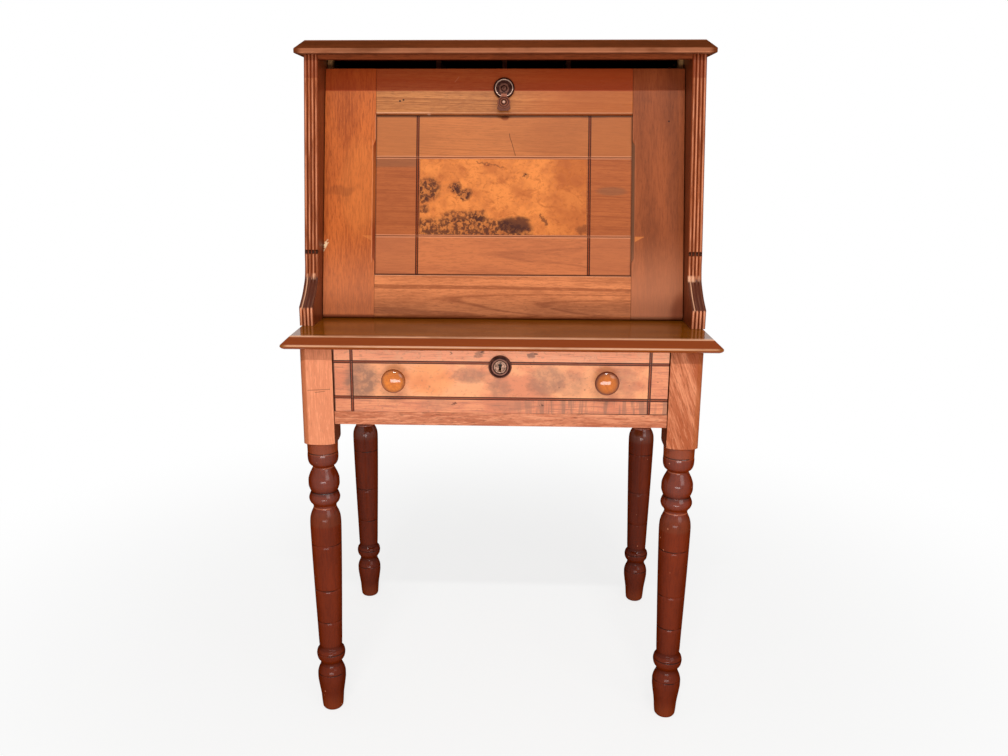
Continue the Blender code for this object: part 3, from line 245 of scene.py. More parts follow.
class Graph:
    """The nodes of a material, a world or a node group."""

    def __init__(self, tree):
        self.nodes = tree.nodes
        self.links = tree.links

    def plug(self, socket, value):
        """Sets a socket to a number or colour, or links a wire to it."""
        if isinstance(value, Wire):
            self.links.new(value.socket, socket)
        elif socket.type == "RGBA":
            socket.default_value = (*value[:3], 1.0)
        else:
            socket.default_value = value

    def node(self, kind, settings=None, sockets=None, out=0):
        """Adds a node, its settings first, and gives one of its outputs."""
        made = self.nodes.new(kind)
        for key, value in (settings or {}).items():
            setattr(made, key, value)
        for key, value in (sockets or {}).items():
            self.plug(made.inputs[key], value)
        return Wire(self, made.outputs[out])

    def maths(self, operation, first, second=0.0):
        return self.node("ShaderNodeMath", {"operation": operation}, {0: first, 1: second})

    def largest(self, first, *others):
        for other in others:
            first = self.maths("MAXIMUM", first, other)
        return first

    def dot(self, first, second):
        return self.node("ShaderNodeVectorMath", {"operation": "DOT_PRODUCT"}, {0: first, 1: second}, "Value")

    def join(self, x, y, z):
        return self.node("ShaderNodeCombineXYZ", None, {0: x, 1: y, 2: z})

    def stretch(self, vector, scale, shift=(0.0, 0.0, 0.0)):
        return self.node("ShaderNodeMapping", None, {"Vector": vector, "Location": shift, "Scale": scale})

    def noise(self, vector, scale, detail=2.0, rough=0.5, distortion=0.0, shift=(0.0, 0.0, 0.0)):
        """Noise of one scale, or of three scales and a shift."""
        if isinstance(scale, tuple):
            vector, scale = self.stretch(vector, scale, shift), 1.0
        return self.node("ShaderNodeTexNoise", None, {
            "Vector": vector, "Scale": scale, "Detail": detail, "Roughness": rough, "Distortion": distortion})

    def noise_line(self, along):
        """Noise along one number."""
        return self.node("ShaderNodeTexNoise", {"noise_dimensions": "1D"}, {
            "W": along, "Scale": 1.0, "Detail": 2.0, "Roughness": 0.5})

    def cells(self, vector, scale):
        """Distance to the nearest of scattered points."""
        return self.node("ShaderNodeTexVoronoi", None, {"Vector": vector, "Scale": scale})

    def spot(self, place, centre, reach):
        """A soft oval spot."""
        u, v = ((p - c) * (1 / r) for p, c, r in zip(place, centre, reach))
        return (u * u + v * v).rise(1.0, 0.25)

    def stroke(self, place, start, end, half):
        """A soft straight stroke."""
        span = Vector(end) - Vector(start)
        way = span.normalized()
        u, v = (p - s for p, s in zip(place, start))
        past = self.largest(abs(u * way.x + v * way.y - span.length / 2) - span.length / 2, 0.0)
        aside = v * way.x - u * way.y
        return (past * past + aside * aside).root().rise(half * 1.6, half * 0.5)

    def blend(self, share, first, second):
        """Mixes two colours."""
        return self.node("ShaderNodeMix", {"data_type": "RGBA", "clamp_factor": True},
                         {0: share, 6: first, 7: second}, 2)


class Grain(NamedTuple):
    """How a board was cut: its place from the heart of the tree, and how strongly its figure shows."""

    seed: float
    pith: tuple = (0.03, 0.06)
    tilt: tuple = (0.03, 0.02)
    rings: float = 70.0
    wander: float = 0.012
    bands: float = 0.55
    ringed: float = 0.25
    flecks: float = 0.45
    lines: float = 0.0
    pores: float = 0.22


class Finish(Graph):
    """A material on the Principled shader: a shade built up of tones, a height for its bump, and clouds."""

    def __init__(self, name, constants=None):
        self.material = bpy.data.materials.new(name)
        self.material.use_nodes = True
        super().__init__(self.material.node_tree)
        self.shader = self.nodes["Principled BSDF"]
        self.feed(constants or {})
        self.position = self.node("ShaderNodeTexCoord", None, None, "Object")
        split = self.node("ShaderNodeSeparateXYZ", None, {0: self.position}).socket.node
        self.x, self.y, self.z = (Wire(self, socket) for socket in split.outputs)

    def feed(self, sockets):
        for key, value in sockets.items():
            self.plug(self.shader.inputs[key], value)

    def up(self):
        """Height on the fall."""
        return (self.y - PIVOT.y) * math.sin(LEAN) + (self.z - PIVOT.z) * math.cos(LEAN) + PIVOT_UP

    def deep(self):
        """Depth behind the fall's outer face."""
        return (self.y - PIVOT.y) * math.cos(LEAN) - (self.z - PIVOT.z) * math.sin(LEAN) + PIVOT_IN

    def lay(self, name, mask, strength=None):
        """Lays a tone over the shade."""
        self.shade = self.blend(mask if strength is None else mask * strength, self.shade, tone(name))

    def lay_spots(self, name, place, spots, thin=None):
        """Lays a tone in soft ovals, (middle, reach, strength), which a mask can thin."""
        for centre, reach, strength in spots:
            spot = self.spot(place, centre, reach)
            self.lay(name, spot if thin is None else spot * thin, strength)

    def saw(self, place, grain, wood):
        """Starts as a sawn board; place is (along the grain, across it, through the board)."""
        along, across, through = place
        dark, seed = f"{wood}_deep", grain.seed
        board = self.join(across, through, along)
        sway = self.noise(board, (6, 6, 1.1), 3, shift=(seed, 0, 0)) - 0.5
        a = across - grain.pith[0] + along * grain.tilt[0] + sway * (grain.wander * 2)
        t = through - grain.pith[1] + along * grain.tilt[1] + sway * grain.wander
        ring = self.noise_line((a * a + t * t).root() * grain.rings + seed)
        band = self.noise(board, (26, 26, 4.5), 3, 0.55, shift=(seed, 2 * seed, 0))
        fleck = self.noise(board, (340, 340, 38), 4, 0.70, shift=(seed, seed, 0))
        pore = self.noise(board, (640, 640, 80), 2, shift=(0, seed, seed)).rise(0.56, 0.70)
        self.shade = tone(wood)
        self.lay(dark, band.rise(0.34, 0.68), grain.bands)
        self.lay(dark, ring.rise(0.42, 0.66), grain.ringed)
        if grain.lines:
            self.lay(dark, abs(ring - 0.5).rise(0.045, 0.0), grain.lines)
        self.lay(dark, fleck.rise(0.48, 0.60), grain.flecks)
        self.lay(wood, fleck.rise(0.48, 0.38), grain.flecks)
        self.lay("dirt_and_shade", pore, grain.pores)
        self.height = fleck * 0.5 + ring * 0.3 - pore * 0.8
        self.cloud = band

    def done(self, rough, height, bump, deep):
        """Feeds the shade, a roughness and a bump, and gives the material."""
        normal = self.node("ShaderNodeBump", None, {"Height": height, "Strength": bump, "Distance": deep})
        self.feed({"Base Color": self.shade, "Roughness": rough, "Normal": normal})
        return self.material

    def polish(self, rough=0.30, bump=0.08):
        """Ends with an old hand-rubbed polish."""
        return self.done(self.cloud * 0.16 + (rough - 0.08), self.height, bump, 0.0004)


POLISH = {"Specular IOR Level": 0.10, "Coat Weight": 0.02, "Coat Roughness": 0.15}
KNOB_POLISH = {"Specular IOR Level": 0.0, "Coat Weight": 1.0, "Coat IOR": 1.50, "Coat Roughness": 0.05}
MATT = {"Specular IOR Level": 0.0, "Coat Roughness": 0.16}
BARE = {"Specular IOR Level": 0.25}

# Faces that meet at less are one face, edges from here on are bevelled, and edges past the last stay sharp.
FLAT_ANGLE = math.radians(0.5)
BEVEL_ANGLE = math.radians(38)
SHARP_ANGLE = math.radians(48)
# Softened edges of small pieces.
SMALL_ARRIS = 0.0004
FINE_ARRIS = 0.0003
HAIR_ARRIS = 0.0002


def soft_shading():
    """Node group that shades a board smooth but for its sharp edges."""
    group = bpy.data.node_groups.new("soft_shading", "GeometryNodeTree")
    for way in ("INPUT", "OUTPUT"):
        group.interface.new_socket("Geometry", in_out=way, socket_type="NodeSocketGeometry")
    graph = Graph(group)
    board = graph.node("NodeGroupInput")
    board = graph.node("GeometryNodeRemoveAttribute", None, {"Geometry": board, "Name": "custom_normal"})
    board = graph.node("GeometryNodeSetShadeSmooth", {"domain": "FACE"}, {"Geometry": board})
    angle = graph.node("GeometryNodeInputMeshEdgeAngle", None, None, "Unsigned Angle")
    sharp = graph.node("FunctionNodeCompare", {"operation": "GREATER_THAN"}, {0: angle, 1: SHARP_ANGLE})
    board = graph.node("GeometryNodeSetShadeSmooth", {"domain": "EDGE"},
                       {"Geometry": board, "Selection": sharp, "Shade Smooth": False})
    graph.plug(graph.nodes.new("NodeGroupOutput").inputs[0], board)
    return group


def soften(node, width):
    """Takes the sharpness off a CAD board's edges."""
    for kind, settings in (
            ("WELD", {"merge_threshold": 1e-5}),
            ("DECIMATE", {"decimate_type": "DISSOLVE", "angle_limit": FLAT_ANGLE}),
            ("BEVEL", {"limit_method": "ANGLE", "angle_limit": BEVEL_ANGLE, "width": width, "segments": 3}),
            ("NODES", {"node_group": bpy.data.node_groups.get("soft_shading") or soft_shading()}),
            ("WEIGHTED_NORMAL", {"keep_sharp": True})):
        modifier = node.modifiers.new(kind.lower(), kind)
        for key, value in settings.items():
            setattr(modifier, key, value)


def dress(names, material, width):
    """Gives CAD nodes a finish and soft edges."""
    for name in names:
        node = frame["nodes"][name]
        node.data.materials.clear()
        node.data.materials.append(material)
        soften(node, width)


def dress_boards(names, axes, grain, wood, rough, width, constants=BARE, bump=0.25):
    """Plain boards: axes names the directions along the grain, across it and through the board."""
    finish = Finish(f"{names[0]}_wood", constants)
    finish.saw([getattr(finish, axis) for axis in axes], grain, wood)
    dress(names, finish.polish(rough, bump), width)


def add(name, data):
    """A new object in the scene."""
    made = bpy.data.objects.new(name, data)
    bpy.context.scene.collection.objects.link(made)
    return made


def mesh_of(name, bm):
    """The mesh of a shape, with its faces turned outwards."""
    bmesh.ops.recalc_face_normals(bm, faces=bm.faces[:])
    mesh = bpy.data.meshes.new(name)
    bm.to_mesh(mesh)
    bm.free()
    return mesh


def make(name, bm, material, body, replaced, angle=40):
    """A finer piece in place of a CAD node."""
    mesh = mesh_of(name, bm)
    mesh.shade_smooth()
    mesh.set_sharp_from_angle(angle=math.radians(angle))
    for end in (face for face in mesh.polygons if len(face.vertices) > 8):
        for k in end.loop_indices:
            mesh.edges[mesh.loops[k].edge_index].use_edge_sharp = True
    mesh.materials.append(material)
    piece = add(name, mesh)
    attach(piece, body)
    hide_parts(replaced)


def even(low, high, steps):
    """Numbers from low to high, evenly apart."""
    return [low + (high - low) * k / steps for k in range(steps + 1)]


def smooth_line(points, steps):
    """Points on a smooth curve through the given ones."""
    ends = [points[0], *points, points[-1]]
    found = []
    for a, b, c, d in zip(ends, ends[1:], ends[2:], ends[3:]):
        for k in range(steps):
            t = k / steps
            found.append(tuple(
                0.5 * (2 * q + (r - p) * t + (2 * p - 5 * q + 4 * r - s) * t * t
                       + (3 * q - p - 3 * r + s) * t ** 3)
                for p, q, r, s in zip(a, b, c, d)))
    return [*found, points[-1]]


def bridge(bm, loops):
    """Faces from each closed loop of points to the next."""
    for low, high in zip(loops, loops[1:]):
        for k in range(len(low)):
            after = (k + 1) % len(low)
            bm.faces.new((low[k], low[after], high[after], high[k]))
    return bm


def closed(bm, loops):
    """A solid over loops of points, with flat ends."""
    bridge(bm, loops)
    bm.faces.new(loops[0][::-1])
    bm.faces.new(loops[-1])
    return bm


def full_turn(segments):
    return [2 * math.pi * k / segments for k in range(segments)]


def spun(bm, profile, centre, axis, segments):
    """Loops of (along, radius) points spun about an axis."""
    facing = Vector((0, 0, 1)).rotation_difference(Vector(axis)).to_matrix()
    loops = []
    for along, radius in profile:
        spots = [Vector((radius * math.cos(a), radius * math.sin(a), along)) for a in full_turn(segments)]
        loops.append([bm.verts.new(Vector(centre) + facing @ spot) for spot in spots])
    return loops


def turned(profile, centre, axis, segments):
    """A solid turning with flat ends."""
    bm = bmesh.new()
    return closed(bm, spun(bm, profile, centre, axis, segments))


def ring(section, centre, axis, segments):
    """A turned ring with a closed section."""
    bm = bmesh.new()
    bridge(bm, spun(bm, [*section, section[0]], centre, axis, segments))
    bmesh.ops.remove_doubles(bm, verts=bm.verts[:], dist=1e-7)
    return bm


def prism(outline, low, high):
    """A bar of an (x, z) outline along Y."""
    bm = bmesh.new()
    return closed(bm, [[bm.verts.new((x, y, z)) for x, z in outline] for y in (low, high)])


def combine(bm, tool, operation):
    """Joins a tool's shape to a piece, or cuts it away."""
    objects = [add(name, mesh_of(name, shape)) for name, shape in (("work", bm), ("tool", tool))]
    cut = objects[0].modifiers.new("cut", "BOOLEAN")
    cut.operation = operation
    cut.object = objects[1]
    ready = objects[0].evaluated_get(bpy.context.evaluated_depsgraph_get())
    done = bmesh.new()
    done.from_mesh(ready.to_mesh())
    ready.to_mesh_clear()
    for obj in objects:
        mesh = obj.data
        bpy.data.objects.remove(obj)
        bpy.data.meshes.remove(mesh)
    return done


# Leg profile as turned, from the floor up: (height, radius).
LEG_PROFILE = (
    (0.0000, 0.0165), (0.0035, 0.0190), (0.0300, 0.0214), (0.0520, 0.0246), (0.0650, 0.0260),
    (0.0730, 0.0260), (0.0820, 0.0242), (0.0900, 0.0208), (0.0955, 0.0194), (0.1000, 0.0212),
    (0.1060, 0.0250), (0.1145, 0.0264), (0.1220, 0.0250), (0.1285, 0.0207), (0.1340, 0.0212),
    (0.1755, 0.0226), (0.2630, 0.0254), (0.3400, 0.0274), (0.3760, 0.0280), (0.3870, 0.0273),
    (0.3970, 0.0247), (0.4040, 0.0216), (0.4085, 0.0204), (0.4130, 0.0214), (0.4180, 0.0256),
    (0.4255, 0.0278), (0.4320, 0.0263), (0.4380, 0.0239), (0.4430, 0.0256), (0.4510, 0.0277),
    (0.4600, 0.0276), (0.4700, 0.0250), (0.4790, 0.0208), (0.4842, 0.0187), (0.4866, 0.0200),
    (0.4890, 0.0232), (0.4930, 0.0256), (0.4990, 0.0270), (0.5060, 0.0273), (0.5122, 0.0269),
    (0.5310, 0.0275), (0.5322, 0.0335), (0.5350, 0.0400), (0.5390, 0.0460),
)
HEAD_Z = 0.5310           # the square head starts here
HEAD_ARRIS = 0.0006
INNER_CORNER = 0.0012     # rounding of the head's other corners
SHAFT = (0.1340, 0.3760)  # foot and head of the plain shaft
BACK_RAISE = 0.020        # the back legs have longer shafts
TURNING_STEP = 0.0022     # between rows of points, and the same where the turning meets the head
HEAD_STEP = 0.0006
LONG_TAPER = 0.03         # longer stretches have only TAPER_ROWS rows
TAPER_ROWS = 8
SCORE_FLOOR = 0.0003      # half the width of a scored ring, at its floor and at its mouth
SCORE_MOUTH = 0.0009
SCORE_CLEAR = 0.0011      # no other row is as near to a ring

# Heights of scored rings, of the necks with rubbed wear and painted highlights, of the necks and grooves with
# dirt and painted shade, the collar and the crown of the shaft.
SCORES = {"front": (0.184, 0.249, 0.338), "back": (0.193, 0.272, 0.364)}
BEAD_SCORES = (0.0752, 0.1172, 0.4380, 0.5122)
RUBBED_HIGHLIGHTS = (0.4078, 0.4842)
GRIME_AND_SHADE = (0.0955, 0.1290, 0.4380)
COLLAR_Z = 0.5205
CROWN_Z = 0.388
# Where tones fade in on a leg: heights, and distances from the middle of the head.
SHAFT_DARK = (0.36, 0.08)
FOOT_WARM = (0.040, 0.004)
VASE_GLOSS = (0.385, 0.415)
# painted shade on the head's rounded outer corner and on its inner faces
OUTER_CORNER_SHADE = (0.0165, 0.0195)
INNER_FACE_SHADE = (0.0274, 0.0280)
HEAD_LEAN = 0.35          # slope of the grain on the right heads
LEG_SEEDS = (2.0, 7.3)    # the first leg, and the step to the next
# Cracks in the left heads, (x, z): start, end and half width.
HEAD_CRACKS = (((-0.3308, 0.6302), (-0.2925, 0.6325), 0.0006), ((-0.3180, 0.6265), (-0.3010, 0.6290), 0.0005))


def turning_height(end, z):
    """Height of a turning on the front or the back legs."""
    foot, head = SHAFT
    if end == "front" or z <= foot or z >= HEAD_Z:
        return z
    raised = head + BACK_RAISE
    if z <= head:
        return foot + (z - foot) * (raised - foot) / (head - foot)
    return HEAD_Z - (HEAD_Z - z) * (HEAD_Z - raised) / (HEAD_Z - head)


def leg_radius(points):
    """Smooth radius at a height of the turned leg, with flat slopes at its widest and narrowest places."""
    gaps = [(b[1] - a[1]) / (b[0] - a[0]) for a, b in zip(points, points[1:])]
    slopes = [gaps[0]]
    for before, after in zip(gaps, gaps[1:]):
        slopes.append(0.0 if before * after <= 0 else 2 * before * after / (before + after))
    slopes.append(gaps[-1])

    def radius(z):
        if z >= points[-1][0]:
            return points[-1][1]
        k = max(i for i, point in enumerate(points) if point[0] <= z)
        (z0, r0), (z1, r1) = points[k], points[k + 1]
        wide = z1 - z0
        t = (z - z0) / wide
        return ((1 + 2 * t) * (1 - t) ** 2 * r0 + t * (1 - t) ** 2 * wide * slopes[k]
                + t * t * (3 - 2 * t) * r1 + t * t * (t - 1) * wide * slopes[k + 1])
    return radius


def square_reach(angle, half, corner):
    """Distance from the middle of the leg's square to its outline; the corner at 45 degrees is rounded."""
    c, s = abs(math.cos(angle)), abs(math.sin(angle))
    size = corner if math.cos(angle) > 0 and math.sin(angle) > 0 else INNER_CORNER
    inner = half - size
    reach = half / max(c, s)
    if reach * c > inner and reach * s > inner:
        dot = inner * (c + s)
        reach = dot + math.sqrt(max(dot * dot - 2 * inner * inner + size * size, 0.0))
    return reach


def leg_rows(profile, scores, top):
    """Heights of a leg's rows of points."""
    heights = {0.0, top - HEAD_ARRIS, top}
    for (low, _), (high, _) in zip(profile, profile[1:]):
        steps = (high - low) / (HEAD_STEP if high > HEAD_Z else TURNING_STEP)
        if high - low > LONG_TAPER:
            steps = min(steps, TAPER_ROWS)
        heights.update(even(low, high, max(1, round(steps)))[:-1])
    for z in scores:
        heights = {h for h in heights if abs(h - z) > SCORE_CLEAR}
        heights.update((z - SCORE_MOUTH, z - SCORE_FLOOR, z + SCORE_FLOOR, z + SCORE_MOUTH))
    return sorted(heights)


def leg_mesh(lo, hi, sx, sy, profile, scores, sizes):
    """A turned leg with a square head; its corner towards (sx, sy) is rounded."""
    middle = (lo + hi) / 2
    half = (hi.x - lo.x) / 2
    radius = leg_radius(profile)
    scored = {round(z + d, 5) for z in scores for d in (-SCORE_FLOOR, SCORE_FLOOR)}
    bm = bmesh.new()
    loops = []
    for z in leg_rows(profile, scores, hi.z):
        deep = sizes.score_deep if round(z, 5) in scored else 0.0
        inset = HEAD_ARRIS if z == hi.z else 0.0
        loop = []
        for angle in full_turn(sizes.leg_segments):
            reach = min(radius(z) - deep, square_reach(angle, half, sizes.leg_corner)) - inset
            x, y = sx * reach * math.cos(angle), sy * reach * math.sin(angle)
            loop.append(bm.verts.new((middle.x + x, middle.y + y, z)))
        loops.append(loop)
    return closed(bm, loops)


def leg_finish(name, lo, hi, sx, seed, end, scores):
    """Dark polished turning below, faded walnut on the head, with painted shade that browns its rounded outer
    corner and darkens its inner faces.
    """
    finish = Finish(name, MATT)
    x, z = finish.x, finish.z
    place = (z, x - lo.x, finish.y - lo.y)
    finish.saw(place, Grain(seed, (0.02, 0.02), (0.02, 0.015), 60, 0.006, bands=0.40, ringed=0.2,
                            flecks=0.25, pores=0.05), "turned")
    turning = finish.shade
    head = Grain(seed + 3, (0.05, 0.06), (0.02, 0.02), 90, 0.008, bands=1.0, ringed=0.40,
                 flecks=0.62 if sx < 0 else 0.48, lines=0.7, pores=0.45)
    if sx < 0:
        finish.saw(place, head, "faded")
        finish.lay("bleach_and_painted_light", 0.46)
    else:
        leaning = (z, x - lo.x + z * HEAD_LEAN, finish.y - lo.y)
        finish.saw(leaning, head, "faded")
        finish.lay("faded_deep", 0.16)
    outward = (x - (lo.x + hi.x) / 2) * sx
    # Painted shade on the head's rounded outer corner and on its inner faces.
    finish.lay("brown", outward.rise(*OUTER_CORNER_SHADE), 0.65)
    finish.lay("turned_deep", (-outward).rise(*INNER_FACE_SHADE), 0.85)
    if sx < 0:
        finish.lay("ashen_and_shade", finish.largest(*[finish.stroke((x, z), *crack) for crack in HEAD_CRACKS]), 0.7)
    finish.shade = finish.blend(z.rise(HEAD_Z, HEAD_Z + 0.0012), turning, finish.shade)

    finish.lay("stile_deep", z.near(COLLAR_Z, 0.0095, 0.003), 0.50)
    finish.lay("turned_deep", z.rise(*SHAFT_DARK), 0.35)
    finish.lay("ashen_and_shade", z.near(turning_height(end, CROWN_Z), 0.010, 0.006), 0.12)
    finish.lay("stile_deep", z.rise(*FOOT_WARM), 0.30)
    # Dirt and painted shade in the necks and grooves.
    for mark in GRIME_AND_SHADE:
        finish.lay("turned_deep", z.near(turning_height(end, mark), 0.0030, 0.0030), 0.55)
    wear = finish.noise(finish.position, 38.0)
    # Rubbed wear and painted highlights at the two narrowest necks.
    for mark in RUBBED_HIGHLIGHTS:
        rub = z.near(turning_height(end, mark), 0.0004, 0.0012)
        finish.lay("faded_deep", rub * wear.rise(0.30, 0.54), 0.70)
    for mark in scores:
        finish.lay("dirt_and_shade", z.near(mark, 0.0007, 0.0006) * wear.rise(0.36, 0.56), 0.8)
    chips = finish.cells(finish.position, 40.0).rise(0.060, 0.040)
    finish.lay("faded", chips * z.rise(HEAD_Z, HEAD_Z - 0.01), 0.5)
    facing = finish.node("ShaderNodeLayerWeight", None, {"Blend": 0.5}, "Facing")
    gloss = facing.rise(0.55, 0.0) * (z.rise(*VASE_GLOSS) * 0.55 + 0.30)
    finish.feed({"Coat Weight": z.rise(HEAD_Z, HEAD_Z - 0.001) * gloss})
    return finish.polish(0.28, 0.05)


class DESK_OT_turn_legs(bpy.types.Operator):
    """Turns the four legs with their square heads, beads and scored rings"""

    bl_idname = "desk.turn_legs"
    bl_label = "Turn legs"

    def execute(self, context):
        seed, step = LEG_SEEDS
        for end, sy in (("front", -1), ("back", 1)):
            profile = [(turning_height(end, z), r) for z, r in LEG_PROFILE]
            scores = [*SCORES[end], *[turning_height(end, z) for z in BEAD_SCORES]]
            for side, sx in SIDES:
                name = f"leg_{end}_{side}"
                lo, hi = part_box(name)
                material = leg_finish(f"turned_{name}", lo, hi, sx, seed, end, scores)
                mesh = leg_mesh(lo, hi, sx, sy, profile, scores, context.scene.desk_sizes)
                make(f"turned_{name}", mesh, material, "desk", name, angle=50)
                seed += step
        return {"FINISHED"}


class DESK_OT_dress_frame(bpy.types.Operator):
    """Finishes the aprons, the drawer rail, the runners and the glue blocks"""

    bl_idname = "desk.dress_frame"
    bl_label = "Dress frame"

    def execute(self, context):
        arris = context.scene.desk_sizes.arris
        for name, axes, grain in (
                ("apron_left", "yzx", Grain(5.0, (0.61, 0.40), (0.02, 0.01), 160)),
                ("apron_right", "yzx", Grain(11.0, (0.61, 0.40), (0.02, 0.01), 160)),
                ("apron_back", "xzy", Grain(17.0, (0.60, -0.20), (0.012, 0.01)))):
            dress_boards([name], axes, grain, "brown", 0.34, arris, POLISH)
        finish = Finish("drawer_rail_wood", POLISH)
        finish.saw((finish.x, finish.z, finish.y), Grain(
            23.0, (0.60, -0.20), (0.012, 0.01), 90, 0.010, bands=0.9, ringed=0.4, flecks=0.6, lines=0.6,
            pores=0.45), "faded")
        finish.lay("faded_deep", finish.x.rise(-0.05, 0.20), 0.16)
        dress(["drawer_rail"], finish.polish(0.34), arris)
        blocks = [f"glue_block_{end}_{side}" for end in ("front", "back") for side, _ in SIDES]
        names = ["drawer_runner_left", "drawer_runner_right", *blocks]
        dress_boards(names, "yxz", Grain(31.0, (0.02, 0.65), rings=110), "softwood", 0.62, arris)
        return {"FINISHED"}


# Rubbed edges, with their painted highlights, fade out behind the front of a board, and towards its ends.
RUB_AND_HIGHLIGHT_FRONT = (0.024, 0.018)
RUB_AND_HIGHLIGHT_ENDS = (0.004, 0.016)


def moulded(name, grain, wood, lines, worn, constants):
    """Long-grain board whose front edges are rubbed and carry painted highlights: lines are (height, half
    band, strength) on its front and ends.
    """
    lo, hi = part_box(name)
    finish = Finish(name, constants)
    finish.saw((finish.x, finish.y, finish.z - lo.z), grain, wood)
    patch = finish.noise(finish.position, (9, 30, 30), 3.0, 0.6).rise(0.28, 0.52) * 0.6 + 0.4
    edge = (finish.y - lo.y).rise(*RUB_AND_HIGHLIGHT_FRONT) * ((hi.x - lo.x) / 2 - abs(finish.x)).rise(*RUB_AND_HIGHLIGHT_ENDS)
    for z, half, strength in lines:
        finish.lay(worn, finish.z.near(z, half, 0.0008) * edge * patch, strength)
    return finish


LONG_BOARD = ((-0.06, 0.08), (0.03, 0.01), 60, 0.02)  # cut of the table top and the cornice
TOP_BROW = 0.0132                                     # height of the table top's bevel
TOP_ARRIS = 0.0016


class DESK_OT_dress_table_top(bpy.types.Operator):
    """Finishes the table top: dark polish, red-brown bevel, rubbed arrises with painted highlights"""

    bl_idname = "desk.dress_table_top"
    bl_label = "Dress table top"

    def execute(self, context):
        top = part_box("table_top")[1].z
        brow = top - TOP_BROW
        # Rubbed arrises with painted highlights: at the top arris and just under the bevel.
        lines = ((top - 0.0006, 0.0010, 0.75), (brow - 0.0010, 0.0014, 0.60))
        finish = moulded("table_top", Grain(41.0, *LONG_BOARD, flecks=0.25), "top", lines, "worn",
                         {"Specular IOR Level": 0.14})
        bevel = finish.z.near((top - TOP_ARRIS + brow) / 2, (TOP_BROW - TOP_ARRIS) / 2 - 0.0004, 0.0006)
        finish.lay("bevel", bevel, 0.8)
        finish.lay("stile_deep", finish.z.rise(brow - 0.0024, brow - 0.0036), 0.7)
        dress(["table_top"], finish.polish(0.15, 0.03), context.scene.desk_sizes.table_edge)
        return {"FINISHED"}


# Patches on the drawer's front, (x, z): their middle, reach and strength.
DRAWER_GREY = (
    ((-0.238, 0.647), (0.036, 0.042), 1.0), ((-0.050, 0.658), (0.036, 0.018), 0.70),
    ((0.000, 0.640), (0.024, 0.022), 0.60), ((0.078, 0.652), (0.038, 0.032), 0.72),
    ((0.120, 0.645), (0.034, 0.030), 0.50), ((0.215, 0.650), (0.025, 0.034), 0.40),
    ((-0.110, 0.607), (0.040, 0.012), 0.35), ((0.020, 0.608), (0.050, 0.012), 0.40),
    ((-0.0376, 0.6967), (0.0098, 0.0062), 0.95), ((0.0539, 0.6942), (0.0098, 0.0062), 0.95),
)
DRAWER_DARK = (
    ((-0.0826, 0.6963), (0.0030, 0.0026), 0.6), ((-0.0805, 0.6082), (0.0030, 0.0028), 0.7),
    ((0.0689, 0.6100), (0.0030, 0.0028), 0.7), ((-0.0330, 0.6990), (0.0032, 0.0018), 0.7),
    ((0.0595, 0.6965), (0.0032, 0.0018), 0.7),
)
DRAWER_GOLD = (((-0.120, 0.650), (0.050, 0.034), 0.45),)
# Scored lines of the drawer's front: heights of the level ones, and x of the upright ones.
DRAWER_LINES = (0.6185, 0.6810)
DRAWER_LINE_X = 0.2543
LINE_HALF = 0.0024
LINE_DARK = (0.0006, 0.0012, 0.0020, 0.0030)  # darker in the lines, from the face inwards
VENEER = 0.0030           # plain wood starts this far behind the face


